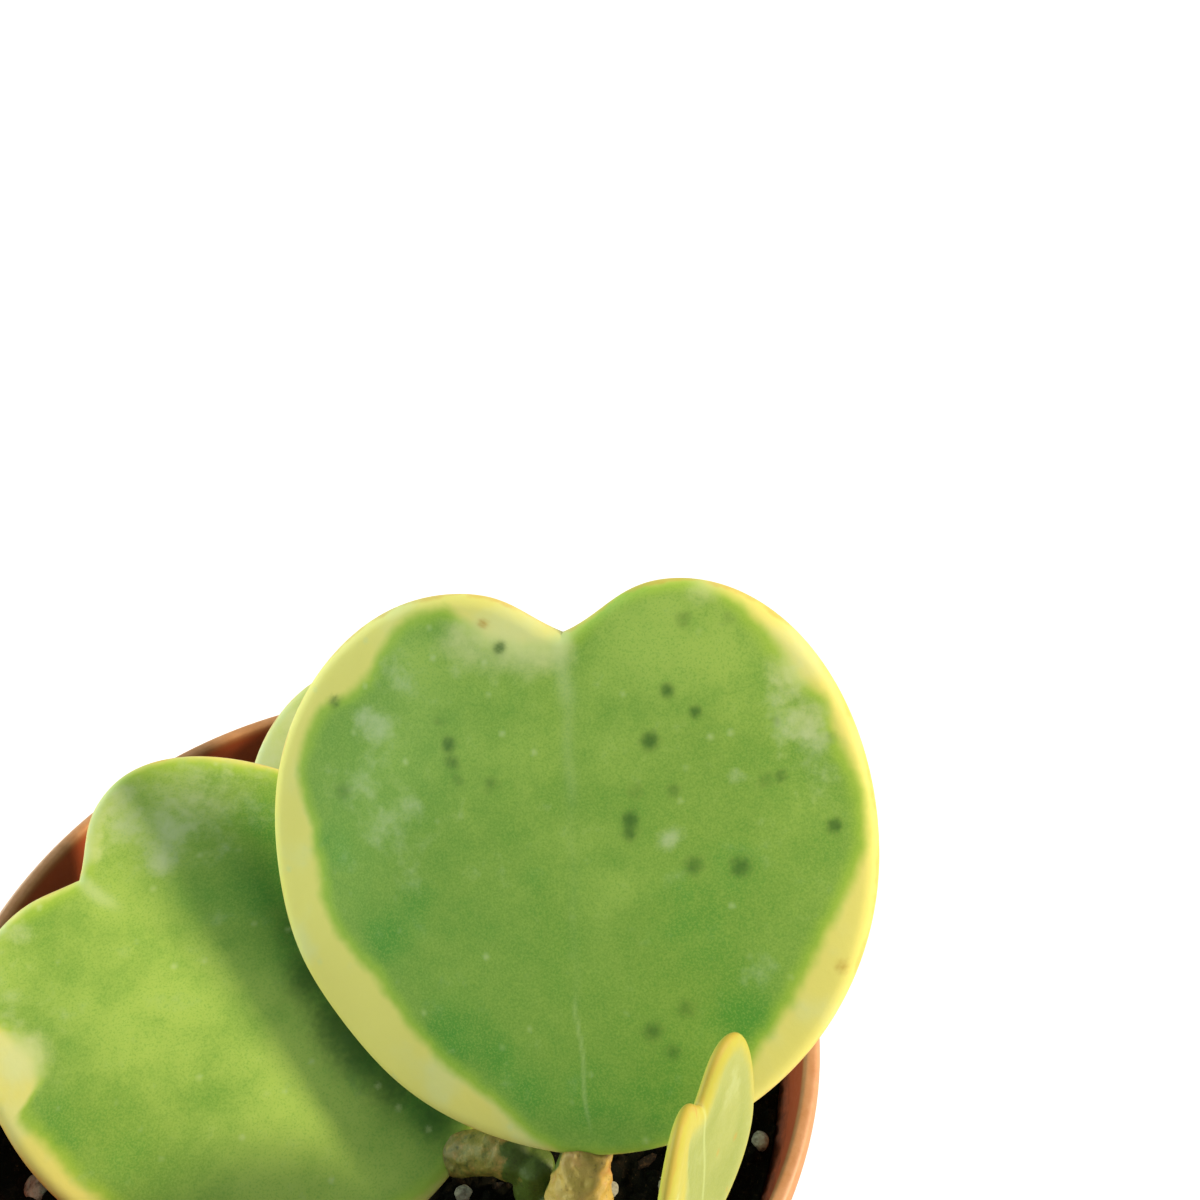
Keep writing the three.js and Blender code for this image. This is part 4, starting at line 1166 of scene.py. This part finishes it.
def wrinkled(piece, depth, stem, corked_from, tips):
    """Moves each point along its normal by ridges along the stem and rings round it, deeper on cork.

    Cork grows where a stalk has bent corked_from millimetres away from the upright stem; on the side towards
    -x, away from the key light, it is cut back, which paints shade there as darker green skin. Round each
    tip, where the stalk meets its blade, a darker colour paints the shade under the blade."""
    mesh = piece.data
    points = mesh_points(mesh)
    normals = np.empty(len(mesh.vertices) * 3)
    mesh.vertices.foreach_get("normal", normals)
    ragged, ridges, rings, warts = (swells(points * squeeze, breadth, seed)
                                    for breadth, squeeze, seed in BARK)
    warts = np.maximum(warts - CORK["wart_from"], 0)
    away = np.hypot(points[:, 0] - stem[0], points[:, 1] - stem[1])
    cork = smooth(corked_from, corked_from + CORK["spread"], away + CORK["ragged"] * ragged)
    # Painted shade: less cork, so darker skin, on the side towards -x.
    cork *= 1 - CORK["shade"] * smooth(0, CORK["shade_reach"], stem[0] - points[:, 0])
    move = depth * (0.3 + 0.7 * cork) * (0.35 * ridges + 0.5 * rings + 0.5 * warts - 0.3)
    moved = points + normals.reshape(-1, 3) * move[:, None]
    mesh.vertices.foreach_set("co", (moved * MM).ravel())
    # Painted shade round each stalk's tip, where it meets its blade.
    reach = np.min([np.linalg.norm(points - tip[:3], axis=1) for tip in tips], axis=0)
    crease = smooth(JOINT_SHADE["outer"], JOINT_SHADE["inner"], reach + JOINT_SHADE["ragged"] * warts)
    set_fields(mesh, {"cork": cork, "crease": crease})
    mesh.update()
    return piece


class AddStems(bpy.types.Operator):
    """Grow the vine, the leaf stalks and the young shoot out of the soil"""

    bl_idname = "hoya.add_stems"
    bl_label = "Stems"

    def execute(self, context):
        look = context.scene.hoya_stem
        bark = corky_bark(look)
        depth = look.wrinkle / MM
        for name, node, limbs, corked_from, share in STEMS:
            tips = [limb[-1] for limb in limbs[1:] or limbs]  # a lone limb is its own stalk
            stem = wrinkled(fused(name, limbs), share * depth, limbs[0][0], corked_from, tips)
            settle(stem, "stem_bark", bark, node)
        return {"FINISHED"}


# ---------------------------------------------------------------- stage


def camera_axes():
    """Right, up and backward directions of the camera, from its compass heading, dip and roll."""
    heading, dip, roll = (math.radians(CAMERA[key]) for key in ("heading", "dip", "roll"))
    forward = Vector((math.cos(dip) * math.cos(heading), math.cos(dip) * math.sin(heading), -math.sin(dip)))
    level = Vector((math.sin(heading), -math.cos(heading), 0))
    upright = level.cross(forward)
    right = level * math.cos(roll) + upright * math.sin(roll)
    up = upright * math.cos(roll) - level * math.sin(roll)
    return right, up, -forward


def hang_lamp(scene, name, strength):
    """Adds a distant lamp that shines from its azimuth and height."""
    place = LAMPS[name]
    lamp = bpy.data.lights.new(name, "SUN")
    lamp.energy = strength
    lamp.angle = math.radians(place["breadth"])
    lamp.color = linear(place["shade"])
    turn, lift = math.radians(place["azimuth"]), math.radians(place["height"])
    way = Vector((math.cos(lift) * math.cos(turn), math.cos(lift) * math.sin(turn), math.sin(lift)))
    hung = bpy.data.objects.new(name, lamp)
    hung.location = way
    hung.rotation_euler = way.to_track_quat("Z", "Y").to_euler()
    scene.collection.objects.link(hung)


class AddStage(bpy.types.Operator):
    """Lay the floor, hang the lights and place the camera"""

    bl_idname = "hoya.add_stage"
    bl_label = "Floor, light and camera"

    def execute(self, context):
        scene = context.scene
        look = scene.hoya_stage
        half = FLOOR_REACH
        corners = [(-half, -half, 0), (half, -half, 0), (half, half, 0), (-half, half, 0)]
        floor = new_piece("floor", corners, [(0, 1, 2, 3)])
        floor.data.materials.append(painted_floor(look))

        world = bpy.data.worlds.new("even light")
        world.use_nodes = True
        sky = world.node_tree.nodes["Background"]
        sky.inputs["Color"].default_value = opaque(look.sky_shade)
        sky.inputs["Strength"].default_value = look.sky
        scene.world = world

        for name in LAMPS:
            hang_lamp(scene, name, getattr(look, name))

        eye = bpy.data.cameras.new("camera")
        eye.lens = look.lens
        eye.sensor_width = CAMERA["sensor"]
        eye.clip_start = CAMERA["nearest"] * MM
        view = bpy.data.objects.new("camera", eye)
        turn = Matrix(camera_axes()).transposed()
        view.matrix_world = Matrix.Translation(Vector(CAMERA["place"]) * MM) @ turn.to_4x4()
        scene.collection.objects.link(view)
        scene.camera = view
        scene.view_settings.view_transform = "Standard"
        return {"FINISHED"}


# ---------------------------------------------------------------- add-on


class HoyaPanel(bpy.types.Panel):
    """Lists the pieces with their settings"""

    bl_idname = "VIEW3D_PT_potted_hoya"
    bl_label = "Potted hoya"
    bl_space_type = "VIEW_3D"
    bl_region_type = "UI"
    bl_category = "Potted hoya"

    def draw(self, context):
        for operator, group in PIECES:
            box = self.layout.box()
            box.operator(operator.bl_idname)
            look = getattr(context.scene, group)
            for name in look.__annotations__:
                box.prop(look, name)


PIECES = ((AddPot, "hoya_pot"), (AddSoil, "hoya_soil"), (AddLeaves, "hoya_leaf"), (AddStems, "hoya_stem"),
          (AddStage, "hoya_stage"))
LOOKS = {"hoya_pot": PotLook, "hoya_soil": SoilLook, "hoya_leaf": LeafLook, "hoya_stem": StemLook,
         "hoya_stage": StageLook}
CLASSES = (*LOOKS.values(), *(operator for operator, _ in PIECES), HoyaPanel)


def register():
    for kind in CLASSES:
        bpy.utils.register_class(kind)
    for name, look in LOOKS.items():
        setattr(bpy.types.Scene, name, PointerProperty(type=look))


def unregister():
    for name in LOOKS:
        delattr(bpy.types.Scene, name)
    for kind in reversed(CLASSES):
        bpy.utils.unregister_class(kind)


def main():
    register()
    for name in ("add_pot", "add_soil", "add_leaves", "add_stems", "add_stage"):
        getattr(bpy.ops.hoya, name)()


if __name__ == "__main__":
    main()
